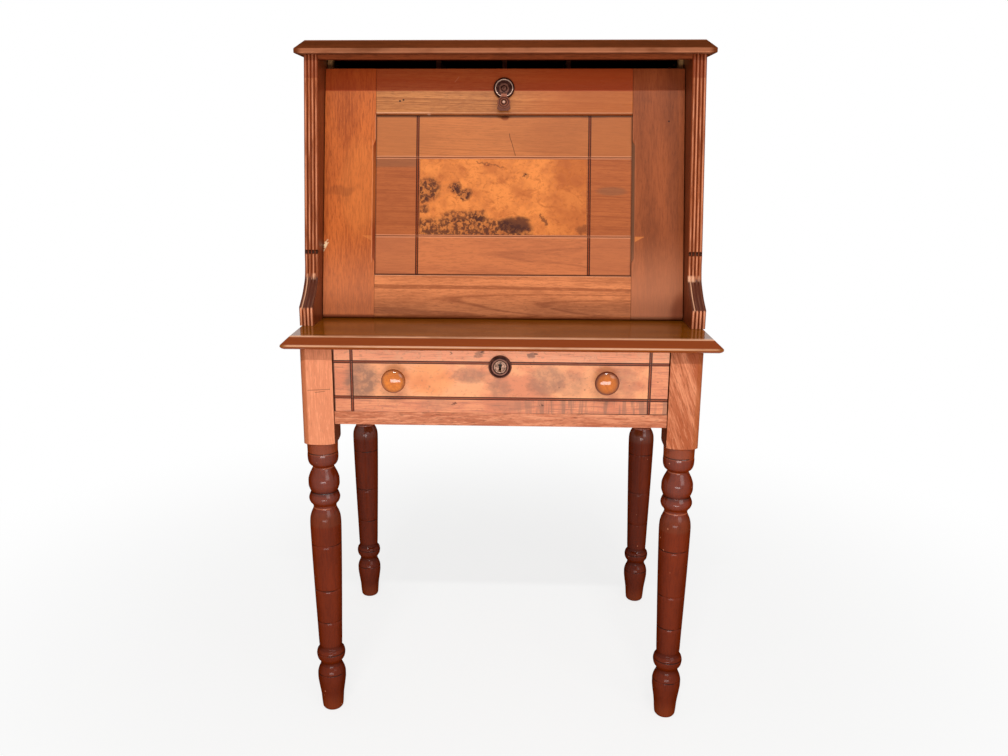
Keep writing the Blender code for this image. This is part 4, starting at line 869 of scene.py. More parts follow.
def drawer_finish():
    """Pale burl veneer with grey clouds and small knots, darker in the scored lines; painted light on its top
    strip, where the table top shades it, and painted shade in the gaps at its left end and foot.
    """
    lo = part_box("drawer_front")[0]
    low, high = DRAWER_LINES
    finish = Finish("drawer_burl", POLISH)
    x, y, z = finish.x, finish.y, finish.z
    warp = finish.noise(finish.position, (14, 14, 22), 3.0, 0.6)
    figure = finish.noise(finish.position, (34, 34, 75), 4.0, 0.65, 1.2)
    hair = finish.noise(finish.position, (22, 60, 420), 4.0, 0.7)
    finish.shade = tone("drawer")
    finish.lay("drawer_deep", warp.rise(0.42, 0.66), 0.8)
    finish.lay("faded_deep", figure.rise(0.52, 0.72), 0.35)
    ends = abs(x).rise(DRAWER_LINE_X - 0.001, DRAWER_LINE_X + 0.002)
    strips = finish.largest(ends, z.rise(low + 0.001, low - 0.002), z.rise(high - 0.001, high + 0.002))
    finish.lay("drawer_deep", strips * (hair.rise(0.40, 0.62) * 0.5 + 0.45))
    finish.lay("drawer_grey", strips * hair.rise(0.54, 0.66), 0.50)
    head = z.rise(high, high + 0.003)
    # Painted light: the top strip is lightened where the table top's shadow falls on it.
    finish.lay("bleach_and_painted_light", head * (hair.rise(0.62, 0.46) * 0.35 + 0.60))
    finish.lay("worn", head * figure.rise(0.46, 0.62), 0.35)

    spread = (x + (figure - 0.5) * 0.030, z + (warp - 0.5) * 0.020)
    finish.lay_spots("burl", spread, DRAWER_GOLD)
    streaks = finish.noise(finish.position, (150, 10, 14), shift=(7, 0, 0)).rise(0.44, 0.62)
    finish.lay("drawer_grey", z.rise(low, low - 0.002) * x.rise(0.0, 0.08) * streaks, 0.65)
    speckle = finish.noise(finish.position, (150, 150, 210), 4.0, 0.7)
    finish.lay("drawer_grey", speckle.rise(0.53, 0.68), 0.30)
    mottle = finish.noise(finish.position, 95.0, 3.0, 0.6).rise(0.36, 0.60)
    finish.lay_spots("drawer_grey", spread, DRAWER_GREY, mottle * 0.35 + 0.55)
    finish.lay_spots("burl_eye", spread, DRAWER_DARK)
    eyes = finish.cells(finish.stretch(finish.position, (1, 1, 1.4), (0, 0, 2)), 62.0).rise(0.14, 0.05)
    finish.lay("burl_eye", eyes * finish.noise(finish.position, 24.0, 1.0).rise(0.54, 0.66), 0.45)

    # Painted shade in the gaps at the drawer's left end and along the right part of its foot.
    foot = z.rise(lo.z + 0.0016, lo.z + 0.0008) * x.rise(0.10, 0.15)
    finish.lay("dirt_and_shade", finish.largest(foot, x.rise(lo.x + 0.0022, lo.x + 0.0012)), 0.8)
    bead = finish.largest(abs(x).near(DRAWER_LINE_X, LINE_HALF, 0.0006),
                          *[z.near(line, LINE_HALF, 0.0006) for line in DRAWER_LINES])
    finish.lay("turned", bead, 0.85)
    finish.lay("dirt_and_shade", y.within(*[FACE_Y + deep for deep in LINE_DARK]), 0.85)
    veneer = finish.shade
    finish.saw((x, z, y), Grain(57.0, (0.02, 0.3)), "softwood")
    finish.shade = finish.blend(y.rise(FACE_Y + VENEER, FACE_Y + VENEER + 0.0005), veneer, finish.shade)
    finish.height, finish.cloud = figure, warp
    return finish.polish(0.30, 0.04)


class DESK_OT_dress_drawer(bpy.types.Operator):
    """Finishes the drawer: burl front, plain sides, back and bottom"""

    bl_idname = "desk.dress_drawer"
    bl_label = "Dress drawer"

    def execute(self, context):
        dress(["drawer_front"], drawer_finish(), FINE_ARRIS)
        for names, axes, grain, rough in (
                (["drawer_side_left", "drawer_side_right"], "yzx", Grain(61.0, (0.65, 0.5), rings=120), 0.60),
                (["drawer_bottom", "drawer_back"], "xyz", Grain(67.0, (0.05, 0.7), rings=110), 0.62)):
            dress_boards(names, axes, grain, "softwood", rough, SMALL_ARRIS)
        return {"FINISHED"}


def on_face(name):
    """Middle of a piece on the drawer's face."""
    lo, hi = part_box(name)
    return Vector(((lo.x + hi.x) / 2, FACE_Y, (lo.z + hi.z) / 2))


# Knob from the drawer's face outwards: (out, radius).
KNOB_SPIGOT = ((-0.0165, 0.0042), (-0.0157, 0.0050), (0.0003, 0.0050))
KNOB_BALL = ((0.0003, 0.0088), (0.0020, 0.0090), (0.0045, 0.0078), (0.0080, 0.0080), (0.0110, 0.0108),
             (0.0140, 0.0160), (0.0175, 0.0195), (0.0210, 0.0206), (0.0240, 0.0194), (0.0264, 0.0158),
             (0.0280, 0.0100), (0.0286, 0.0040), (0.0287, 0.0004))
KNOB_SEGMENTS = 56
KNOB_CROWN = 0.0286
KNOB_RIM = 0.0236         # painted shade: the knob is darker from here back to the drawer's face


class DESK_OT_turn_knobs(bpy.types.Operator):
    """Turns the two drawer knobs"""

    bl_idname = "desk.turn_knobs"
    bl_label = "Turn knobs"

    def execute(self, context):
        profile = [*KNOB_SPIGOT, *smooth_line(KNOB_BALL, 5)]
        for side, seed, dark in (("left", 71.0, 0.0), ("right", 83.0, 0.55)):
            centre = on_face(f"knob_{side}")
            finish = Finish(f"knob_wood_{side}", KNOB_POLISH)
            place = (finish.y, finish.x - centre.x, finish.z - centre.z)
            finish.saw(place, Grain(seed, (0.006, 0.004), (0.2, 0.1), 160, 0.006, bands=0.7, ringed=0.35,
                                    flecks=0.3, pores=0.0), "knob")
            finish.lay("knob_deep", dark)
            # Painted shade: darker round the knob's wide back rim.
            finish.lay("knob_rim_shade", finish.y.rise(FACE_Y - KNOB_CROWN, FACE_Y - KNOB_RIM), 0.70 + dark * 0.5)
            mesh = turned(profile, centre, FORWARD, KNOB_SEGMENTS)
            make(f"turned_knob_{side}", mesh, finish.polish(0.24, 0.02), "drawer", f"knob_{side}")
        return {"FINISHED"}


KEY_EYE = 0.0034
KEY_SLOT = 0.64           # half width of the slot, to the eye's radius
KEY_DROP = 0.0112
KEY_RAISED = 0.0030
KEY_CUT = 0.01            # the keyhole is cut this far to both sides of the face
COLLAR_SEGMENTS = 64
PLATE_SEGMENTS = 56
# Key collar and keyhole plate from the drawer's face outwards: (out, radius).
COLLAR = ((0.0003, 0.0190), (0.0015, 0.0197), (0.0034, 0.0192), (0.0046, 0.0176), (0.0048, 0.0164),
          (0.0036, 0.0156), (0.0036, 0.0148), (0.0050, 0.0140), (0.0050, 0.0126), (0.0040, 0.0119),
          (0.0014, 0.0119))
KEY_PLATE = ((0.0017, 0.0115), (0.0030, 0.0116), (0.0040, 0.0102), (0.0040, 0.0086), (0.0033, 0.0078))
# Rubbed rings of the collar and the rosette: radius, half band and strength.
COLLAR_WORN = ((0.0133, 0.0008, 0.8), (0.0185, 0.0006, 0.25))
ROSETTE_WORN = ((0.0080, 0.0012, 0.5), (0.0024, 0.0010, 0.6))


def keyhole(centre):
    """(x, z) outline of a keyhole: a round eye and a slot below."""
    turn = [math.radians(angle) for angle in even(-50, 230, 18)]
    eye = [(KEY_EYE * math.cos(a), KEY_EYE * math.sin(a)) for a in turn]
    points = [*eye, (-KEY_EYE * KEY_SLOT, -KEY_DROP), (KEY_EYE * KEY_SLOT, -KEY_DROP)]
    return [(centre.x + x, centre.z + KEY_RAISED + z) for x, z in points]


def blackened(name, centre, normal, worn):
    """Blackened wood, rubbed brown on its worn rings."""
    finish = Finish(name, {"Specular IOR Level": 0.08})
    away = finish.node("ShaderNodeVectorMath", {"operation": "SUBTRACT"}, {0: finish.position, 1: centre})
    out = finish.dot(away, normal)
    radius = finish.largest(finish.dot(away, away) - out * out, 0.0).root()
    grime = finish.noise(finish.position, 210.0, 3.0, 0.6)
    finish.shade = tone("ebony")
    finish.lay("ebony_worn", grime.rise(0.45, 0.80), 0.3)
    for r, half, strength in worn:
        finish.lay("ebony_worn", radius.near(r, half, 0.0006) * grime.rise(0.22, 0.50), strength)
    return finish.done(grime * 0.2 + 0.22, grime, 0.06, 0.0003)


def old_metal(name, base, dull, rough, tarnish, bright=1.0):
    """Metal gone dull in patches, with dirt."""
    finish = Finish(name, {"Metallic": bright})
    patch = finish.noise(finish.position, 260.0, 4.0, 0.6)
    scratch = finish.noise(finish.position, (900, 900, 200))
    stain = patch.rise(0.46, 0.68)
    finish.shade = tone(base)
    finish.lay(dull, stain, tarnish)
    finish.lay(dull, scratch.rise(0.60, 0.75), 0.3)
    return finish.done(stain * 0.25 + rough, patch + scratch * 0.4, 0.10, 0.0002)


class DESK_OT_fit_drawer_lock(bpy.types.Operator):
    """Fits the turned key collar, the keyhole plate, the lock and its bolt"""

    bl_idname = "desk.fit_drawer_lock"
    bl_label = "Fit drawer lock"

    def execute(self, context):
        centre = on_face("drawer_escutcheon")
        brass = old_metal("old_brass", "brass", "brass_dull", 0.34, 0.7, 0.7)
        wood = blackened("blackened_collar", centre, FORWARD, COLLAR_WORN)
        for name, profile, sides, material, slot, node in (
                ("key_collar", COLLAR, COLLAR_SEGMENTS, wood, "ebonised_wood", "drawer_escutcheon"),
                ("key_plate", KEY_PLATE, PLATE_SEGMENTS, brass, "brass", "keyhole_plate")):
            disc = turned(profile, centre, FORWARD, sides)
            hole = prism(keyhole(centre), FACE_Y - KEY_CUT, FACE_Y + KEY_CUT)
            make(name, combine(disc, hole, "DIFFERENCE"), material, "drawer", node, angle=32)
        dress(["drawer_lock"], old_metal("old_iron", "iron", "dirt_and_shade", 0.45, 0.6), SMALL_ARRIS)
        dress(["drawer_lock_bolt"], brass, FINE_ARRIS)
        return {"FINISHED"}


# Front edge of a case side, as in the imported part: foot, hollow sweep, notch and slant, (Y, Z).
FOOT_TOP = 0.7605
SWEEP = ((-0.1705, 0.7605), (-0.1566, 0.7689), (-0.1421, 0.7782), (-0.1301, 0.7885), (-0.1199, 0.7996),
         (-0.1130, 0.8146), (-0.1089, 0.8351))
SLANT_FOOT = (-0.1073, 0.8537)
SLANT_HEAD = (-0.0468, 1.1977)
SLANT_SLOPE = (SLANT_HEAD[0] - SLANT_FOOT[0]) / (SLANT_HEAD[1] - SLANT_FOOT[1])
NOTCH_Z = 0.8526
NOTCH_HALF = 0.0042
NOTCH_ROWS = (NOTCH_Z - 0.0045, NOTCH_Z + 0.0060)  # finer rows of points from here to there
REED_END = 0.806          # the hollow is plain below this height
REED_FADE = 0.012         # the reeds run out over this length
SHADE_Z = 1.157           # painted shade on the reeds above this height, where the cornice shades them
REED_LEFT = 0.12          # share of the reeds' depth that is left in the hollow
CORNER_REED = 0.8         # the same for the side's own corners
QUIRK = 0.0012            # groove round the head of the foot, and its rows below FOOT_TOP
QUIRK_LOW = 0.0022
QUIRK_HIGH = 0.0010
REEDS = 4
REED_STEPS = 10


def slant(z):
    return SLANT_FOOT[0] + (z - SLANT_FOOT[1]) * SLANT_SLOPE, z


def side_mesh(lo, hi, sizes):
    """A case side whose front edge is reeded, with pits where the straight reeds end."""
    front = SWEEP[0][0]
    rows = [(front, z) for z in (*even(lo.z, FOOT_TOP - QUIRK_LOW, 6), FOOT_TOP - QUIRK_HIGH)]
    rows += smooth_line(SWEEP, 6)[:-1]
    heights = [*even(*NOTCH_ROWS, 14), *even(NOTCH_ROWS[1], SLANT_HEAD[1], 26)[1:]]
    rows += [slant(z) for z in heights]
    across = even(0.0, 1.0, REEDS * REED_STEPS)
    bm = bmesh.new()
    grid = []
    for k, (y, z) in enumerate(rows):
        before, after = rows[max(k - 1, 0)], rows[min(k + 1, len(rows) - 1)]
        along = Vector((after[0] - before[0], after[1] - before[1])).normalized()
        inward = Vector((1.0, 0.0)) if k in (0, len(rows) - 1) else Vector((along.y, -along.x))
        pit = max(0.0, 1 - ((z - NOTCH_Z) / NOTCH_HALF) ** 2) if z > SWEEP[-1][1] else 0.0
        quirk = QUIRK if abs(z - FOOT_TOP) < 0.0011 and y == front else 0.0
        line = []
        for share in across:
            swell = 1 - abs(2 * ((share * REEDS) % 1.0) - 1)
            round_off = math.sqrt(max(0.0, 1 - (1 - swell) ** 2))
            deep = sizes.reed_deep * (CORNER_REED if share in (0.0, 1.0) else 1 - round_off)
            if FOOT_TOP < z < REED_END:
                deep *= max(REED_LEFT, (z - REED_END) / REED_FADE + 1)
            deep = max(deep, sizes.pit_deep * pit * round_off, quirk)
            x = lo.x + share * (hi.x - lo.x)
            line.append(bm.verts.new((x, y + inward.x * deep, z + inward.y * deep)))
        grid.append(line)
    for a, b in zip(grid, grid[1:]):
        for k in range(len(across) - 1):
            bm.faces.new((a[k], a[k + 1], b[k + 1], b[k]))
    foot, head = ([bm.verts.new((v.co.x, hi.y, z)) for v in (grid[0][0], grid[0][-1])] for z in (lo.z, hi.z))
    for k in (0, -1):
        bm.faces.new([*[line[k] for line in grid], head[k], foot[k]])
    bm.faces.new([*grid[0], foot[1], foot[0]])
    bm.faces.new([*grid[-1], head[1], head[0]])
    bm.faces.new((foot[0], foot[1], head[1], head[0]))
    return bm


def side_finish(name, lo, hi, seed, sx):
    """Vertical walnut; the reeds are rubbed pink on their ridges, with painted highlights there, and painted
    shade in their grooves and pits, under the cornice, in the hollow and on the inner face; a painted
    highlight runs along the hollow.
    """
    finish = Finish(name, POLISH)
    z = finish.z
    finish.saw((z, finish.y, finish.x - lo.x), Grain(seed, (0.02, 0.09), (0.05, 0.01), 80, 0.016), "brown")
    half = (hi.x - lo.x) / 2
    across = finish.x - (lo.x + half)
    # Painted shade on the side's inner face.
    finish.lay("turned_deep", (across * -sx).rise(half - 0.0004, half - 0.0001), 0.36)
    ridge = abs(finish.maths("FRACT", (finish.x - lo.x) * (REEDS / (2 * half))) - 0.5) * 2
    front = (finish.y - (z - SLANT_FOOT[1]) * SLANT_SLOPE - SLANT_FOOT[0]).rise(0.0085, 0.0055)
    front = front * (half - abs(across)).rise(0.0001, 0.0004)
    wear = finish.noise(finish.position, (200, 30, 14), 3.0, shift=(seed, 0, 0))
    hollow = z.near((FOOT_TOP + REED_END) / 2, (REED_END - FOOT_TOP) / 2 - 0.001, 0.006) * front
    # Painted shade in the grooves between the reeds; the ridges are rubbed pink, which also stands in for
    # their highlights.
    finish.lay("turned", ridge.rise(0.45, 0.85) * front, 0.75)
    finish.lay("faded", ridge.rise(0.50, 0.10) * front * wear.rise(0.34, 0.60), 0.74)
    # Painted shade on the reeds under the cornice.
    finish.lay("turned", z.rise(SHADE_Z - 0.001, SHADE_Z + 0.001) * front, 0.50)
    # Painted shade: the hollow sweep is laid dark.
    finish.lay("hollow", hollow, 0.85)
    # Painted highlight: a pale line along the hollow, on the same side of both case sides; the reeds' ends
    # above the hollow are lightened too.
    line = across.near(half * -0.58, 0.0006, 0.0007) * hollow
    ends = z.near(REED_END + 0.003, 0.003, 0.004) * front * wear.rise(0.44, 0.60)
    finish.lay("worn", finish.largest(line, ends), 0.75)
    foot = z.rise(FOOT_TOP + 0.001, FOOT_TOP - 0.001) * front
    finish.lay("faded", foot * ridge.rise(0.65, 0.30) * wear.rise(0.25, 0.50), 0.80)
    # Painted shade in the pits at the foot of the straight reeds.
    pit = z.near(NOTCH_Z, NOTCH_HALF * 0.6, NOTCH_HALF * 0.5) * ridge.rise(0.9, 0.6) * front
    finish.lay("dirt_and_shade", pit, 0.9)
    return finish.polish(0.34)


class DESK_OT_shape_case_sides(bpy.types.Operator):
    """Shapes the case sides with reeded front edges, hollow sweeps and fluted feet"""

    bl_idname = "desk.shape_case_sides"
    bl_label = "Shape case sides"

    def execute(self, context):
        for (side, sx), seed in zip(SIDES, (91.0, 97.0)):
            node = f"case_side_{side}"
            lo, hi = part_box(node)
            material = side_finish(f"reeded_side_{side}", lo, hi, seed, sx)
            mesh = side_mesh(lo, hi, context.scene.desk_sizes)
            make(f"reeded_side_{side}", mesh, material, "desk", node, angle=50)
        return {"FINISHED"}


class DESK_OT_dress_case_head(bpy.types.Operator):
    """Finishes the cornice and the frieze rail"""

    bl_idname = "desk.dress_case_head"
    bl_label = "Dress cornice and frieze"

    def execute(self, context):
        arris = context.scene.desk_sizes.arris
        lo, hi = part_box("cornice")
        # Light bands along the fillet and the edges: rubbed wear with painted highlights.
        lines = ((lo.z + 0.0048, 0.0034, 0.30), (lo.z + 0.0010, 0.0008, 0.30), (hi.z - 0.0006, 0.0008, 0.2))
        finish = moulded("cornice", Grain(103.0, *LONG_BOARD, flecks=0.3), "cornice", lines, "faded", MATT)
        dress(["cornice"], finish.polish(0.42), arris)
        dress_boards(["frieze_rail"], "xzy", Grain(109.0, (1.21, 0.2)), "frieze", 0.30, arris, MATT, 0.08)
        return {"FINISHED"}


class DESK_OT_dress_inside(bpy.types.Operator):
    """Finishes the back boards, the fall's stops and pins, the shelf and its dividers"""

    bl_idname = "desk.dress_inside"
    bl_label = "Dress inside"

    def execute(self, context):
        dividers = [f"pigeonhole_divider_{place}" for place in ("left", "middle", "right")]
        for names, axes, seed, pith, wood in (
                (["back_board_lower"], "xzy", 113.0, (0.95, 0.32), "softwood"),
                (["back_board_middle"], "xzy", 121.0, (0.95, 0.32), "softwood"),
                (["back_board_upper"], "xzy", 127.0, (0.95, 0.32), "softwood"),
                (["pigeonhole_shelf"], "xyz", 131.0, (0.05, 1.1), "softwood"),
                (["fall_stop_left", "fall_stop_right"], "zyx", 139.0, (0.02, 0.3), "softwood"),
                (dividers, "yzx", 137.0, (1.02, 0.3), "cornice")):
            grain = Grain(seed, pith, (0.03, 0.01), 100)
            dress_boards(names, axes, grain, wood, 0.60, context.scene.desk_sizes.arris)
        pins = ["fall_pivot_pin_left", "fall_pivot_pin_right"]
        dress(pins, old_metal("pin_iron", "iron", "dirt_and_shade", 0.4, 0.5), FINE_ARRIS)
        return {"FINISHED"}


# Joints and scored lines of the fall, (out from its middle, up), and where the grain is measured from.
STILE_MIDDLE = 0.28
BOARD_UP = 0.2
STILE_IN = 0.237
LOWER_RAIL = 0.0816
UPPER_RAIL = 0.3789
PANEL_LINE_X = 0.159
PANEL_LINES_UP = (0.1548, 0.3009)
SHADE_UP = 0.4226         # the cornice shades the fall above this
CHAMFER_OUT = (0.0060, 0.0075)  # the inner arrises are chamfered to this depth
LEVEL_FIGURE = {"flecks": 0.34, "pores": 0.28}

# Marks on the fall, (out from its middle, up): middle, reach and strength.
STILE_GOLD = (((0.264, 0.245), (0.048, 0.110), 0.22),)
STILE_SMUDGE = (((0.302, 0.238), (0.036, 0.011), 0.30),)
# painted shade at the right stile's lower outer corner
STILE_CORNER_SHADE = (((0.334, 0.012), (0.030, 0.050), 0.55),)
STILE_HOLE = (((0.303, 0.367), (0.0024, 0.0020), 0.8),)
NAIL_HOLES = (((-0.1926, 0.4041), (0.0024, 0.0022), 0.9), ((-0.1861, 0.4060), (0.0024, 0.0022), 0.9))
PULL_STAIN = (((0.0023, 0.3742), (0.009, 0.0055), 0.65),)
RAIL_CHIP = ((-0.1384, 0.3800), (0.0040, 0.0020))
PANEL_PATCH = ((0.200, 0.239), (0.034, 0.010))
# Heights on the fall: rubbed edges of the stiles and the rail, a painted highlight along the rail's lower
# arris, and a bloom on the panel.
STILE_RUBBED = (0.356, 0.021, 0.004)
CHAMFER_RUBBED = (0.2185, 0.110, 0.006)
RAIL_WORN = (0.3822, 0.0008, 0.0008)
RAIL_LIP_HIGHLIGHT = (0.3818, 0.0008, 0.0007)
PANEL_BLOOM = (0.291, 0.005, 0.006)
# Small wedge let into each stile: its tip, the slope of its foot, its head and its ends.
WEDGE_TIP = (0.2600, 0.1544)
WEDGE_SLOPE = 0.55
WEDGE_HEAD = (0.1552, 0.1542)
WEDGE_ENDS = ((0.2610, 0.2595), (0.2424, 0.2430))
# Strokes on the fall: start, end and half width.
STILE_CHIP = ((0.3340, 0.1270), (0.3250, 0.1435), 0.0030)
RAIL_SCRATCH = ((-0.0909, 0.4393), (-0.0836, 0.4486), 0.0007)
PANEL_CRACK = ((0.0118, 0.3451), (0.0214, 0.3045), 0.0006)


class Stile(NamedTuple):
    """What differs between the stiles: cut, and how strongly its marks show."""

    seed: float
    wood: str
    flecks: float
    pores: float
    rubbed: float
    chamfer_shade: str
    wedge: float
    foot: float
    # strength of the painted cornice shade at the stile's head
    red: float


STILES = {"left": Stile(149.0, "stile", 0.55, 0.32, 0.65, "turned", 0.35, 0.28, 0.6),
          "right": Stile(157.0, "brown", 0.35, 0.22, 0.25, "ashen_and_shade", 0.5, 0.36, 0.2)}


def lay_shade(finish, up, strength=0.75):
    """Painted shade: the head of the fall, where the cornice shades it, is laid over with a deeper red."""
    finish.lay("cornice_shade_red", up.rise(SHADE_UP - 0.001, SHADE_UP + 0.001), strength)


def stile_finish(side, sx):
    """Upright board with a rubbed inner arris, painted shade on its chamfered arris, a few marks, and painted
    shade under the cornice.
    """
    stile = STILES[side]
    finish = Finish(f"fall_stile_{side}", POLISH)
    x, up, deep = finish.x, finish.up(), finish.deep()
    finish.saw((up, x - sx * STILE_MIDDLE, deep), Grain(
        stile.seed, (sx * 0.02, 0.05), (0.05 * sx, 0.03), 70, 0.016, flecks=stile.flecks,
        pores=stile.pores), stile.wood)
    out = x * sx
    place = (out, up)
    line = out.rise(STILE_IN + 0.0018, STILE_IN + 0.0008) * up.near(*STILE_RUBBED)
    finish.lay("faded", line * stile.rubbed, 0.6)
    # Painted shade on the chamfered inner arris.
    finish.lay(stile.chamfer_shade, deep.within(0.0003, 0.0010, *CHAMFER_OUT), 0.85)
    edge = out.near(STILE_IN + 0.0054, 0.0005, 0.0006) * up.near(*CHAMFER_RUBBED)
    finish.lay("faded", edge * stile.rubbed, 0.5)
    wedge = (up - WEDGE_TIP[1] + (WEDGE_TIP[0] - out) * WEDGE_SLOPE).rise(-0.0006, 0.0006)
    wedge = wedge * up.rise(*WEDGE_HEAD)
    for end in WEDGE_ENDS:
        wedge = wedge * out.rise(*end)
    finish.lay("burl", wedge, stile.wedge)
    finish.lay("faded", up.rise(0.17, 0.04), stile.foot)
    if sx < 0:
        broken = finish.noise(finish.position, 260.0).rise(0.40, 0.52)
        finish.lay("chipped", finish.stroke(place, *STILE_CHIP) * broken)
        finish.lay_spots("burl", place, STILE_GOLD)
        drift = (finish.cloud - 0.5) * 0.05
        finish.lay_spots("brown_deep", (out + drift, up + drift), STILE_SMUDGE)
    else:
        # Painted shade at the lower outer corner of the stile.
        finish.lay_spots("turned", place, STILE_CORNER_SHADE)
        finish.lay_spots("dirt_and_shade", place, STILE_HOLE)
    lay_shade(finish, up, stile.red)
    return finish.polish()


def fall_board(name, grain, wood):
    """Level board of the fall: its finish, sawn, and up and deep on it."""
    finish = Finish(name, POLISH)
    up, deep = finish.up(), finish.deep()
    finish.saw((finish.x, up - BOARD_UP, deep), grain, wood)
    return finish, up, deep


def upper_rail_finish():
    """Tan at the left and orange at the right, with nail holes, a scratch, a rubbed lower edge with a painted
    highlight along it, and painted shade on its chamfered arris and under the cornice.
    """
    finish, up, deep = fall_board("fall_rail_upper", Grain(
        163.0, (0.03, 0.08), (0.035, 0.015), 110, 0.014, lines=0.7, **LEVEL_FIGURE), "rail")
    x = finish.x
    finish.lay("stile", x.rise(-0.04, 0.14), 0.60)
    finish.lay("brown_deep", x.rise(0.02, 0.16), 0.28)
    finish.lay_spots("dirt_and_shade", (x, up), NAIL_HOLES)
    scratch = finish.stroke((x, up), *RAIL_SCRATCH)
    worn = up.near(*RAIL_WORN) * x.rise(-0.12, -0.15)
    chip = finish.spot((x, up), *RAIL_CHIP)
    # Painted highlight along the rail's lower arris.
    lip = up.near(*RAIL_LIP_HIGHLIGHT)
    finish.lay("worn", finish.largest(scratch * 0.6, worn * 0.55, chip * 0.8, lip * 0.30))
    # Painted shade on the chamfered lower arris of the rail.
    finish.lay("turned", deep.within(0.0003, 0.0008, *CHAMFER_OUT), 0.55)
    lay_shade(finish, up)
    return finish.polish(0.28)


def lower_rail_finish():
    """Orange with cathedral grain; painted shade makes it greyer along its foot, next to the table top."""
    finish, up, _ = fall_board("fall_rail_lower", Grain(
        173.0, (-0.17, 0.06), (0.05, 0.02), 120, 0.020, lines=0.8, **LEVEL_FIGURE), "sill")
    # Painted shade: greyer along the foot, next to the table top.
    finish.lay("ashen_and_shade", up.rise(0.046, 0.012), 0.20)
    finish.lay("worn", up.rise(LOWER_RAIL - 0.0018, LOWER_RAIL - 0.0008), 0.35)
    return finish.polish()


def panel_finish():
    """Level grain, browner beside the stiles, darker in the scored lines with lighter edges along the level
    ones, and painted shade along its recessed borders.
    """
    finish, up, deep = fall_board("fall_panel", Grain(
        181.0, (-0.08, 0.07), (0.04, 0.015), 120, 0.022, ringed=0.15, lines=0.7, **LEVEL_FIGURE), "panel")
    x, drift = finish.x, finish.cloud - 0.5
    finish.lay("brown", abs(x).rise(PANEL_LINE_X, PANEL_LINE_X + 0.002), 0.50)
    head = up.rise(0.300, 0.303)
    finish.lay("rail", head, 0.35)
    finish.lay("panel_deep", head * (x + drift * 0.2).rise(0.0, 0.10), 0.25)
    finish.lay("faded", up.rise(0.156, 0.153), 0.16)
    bloom = up.near(*PANEL_BLOOM) * x.rise(-PANEL_LINE_X, -PANEL_LINE_X - 0.004)
    patch = finish.spot((x + drift * 0.03, up), *PANEL_PATCH)
    finish.lay("ashen_and_shade", finish.largest(bloom * 0.45, patch * 0.45))
    finish.lay_spots("turned", (x, up), PULL_STAIN)
    finish.lay("dirt_and_shade", finish.stroke((x + drift * 0.012, up), *PANEL_CRACK), 0.7)
    for line in PANEL_LINES_UP:
        finish.lay("worn", abs(up - line).near(0.0021, 0.0004, 0.0005), 0.30)
    finish.lay("turned", abs(x).near(PANEL_LINE_X, 0.0025, 0.0006), 0.80)
    # Painted shade along the panel's borders, where it is recessed under the rails and stiles; the scored
    # lines are darker, the level ones less so.
    rim = finish.largest(up.rise(LOWER_RAIL + 0.0042, LOWER_RAIL + 0.0020),
                         (up + drift * 0.006).rise(UPPER_RAIL - 0.0058, UPPER_RAIL - 0.0020),
                         abs(x).rise(STILE_IN - 0.0030, STILE_IN - 0.0012) * 0.6)
    grime = deep.within(0.0055, 0.0061, 0.0075, 0.0085)
    level = finish.largest(*[up.near(line, 0.0020, 0.0004) for line in PANEL_LINES_UP])
    finish.lay("faded", level, 0.25)
    finish.lay("dirt_and_shade", finish.largest(grime * (0.9 - level * 0.45), rim * 0.8))
    return finish.polish()


# Dark clusters of the burl field, (x, up): their middle, reach and strength.
BURL_CLUSTERS = (
    ((-0.1380, 0.2425), (0.0286, 0.0260), 0.90), ((-0.1465, 0.2235), (0.0143, 0.0091), 0.80),
    ((-0.1463, 0.2050), (0.0143, 0.0091), 0.80), ((-0.0880, 0.2440), (0.0156, 0.0130), 0.95),
    ((-0.0720, 0.2320), (0.0169, 0.0130), 0.95), ((0.0418, 0.2669), (0.0065, 0.0065), 0.90),
    ((-0.0830, 0.1920), (0.0364, 0.0143), 0.75), ((-0.0460, 0.1925), (0.0195, 0.0143), 0.95),
)
BURL_SOLID = (((0.0230, 0.1760), (0.038, 0.019), 0.85),)
BURL_DIM = (((0.1465, 0.168), (0.014, 0.010), 0.45),)
BURL_VEIL = ((0.140, 0.275), (0.060, 0.050))
# Dark streaks of the burl field: start, end, half width and strength.
BURL_STREAKS = (
    ((-0.0493, 0.2935), (-0.0005, 0.2823), 0.0012, 0.50), ((0.0706, 0.1967), (0.0819, 0.1782), 0.0020, 0.65),
)
BURL_BRINK = 0.188        # the dark foot of the field reaches up to here


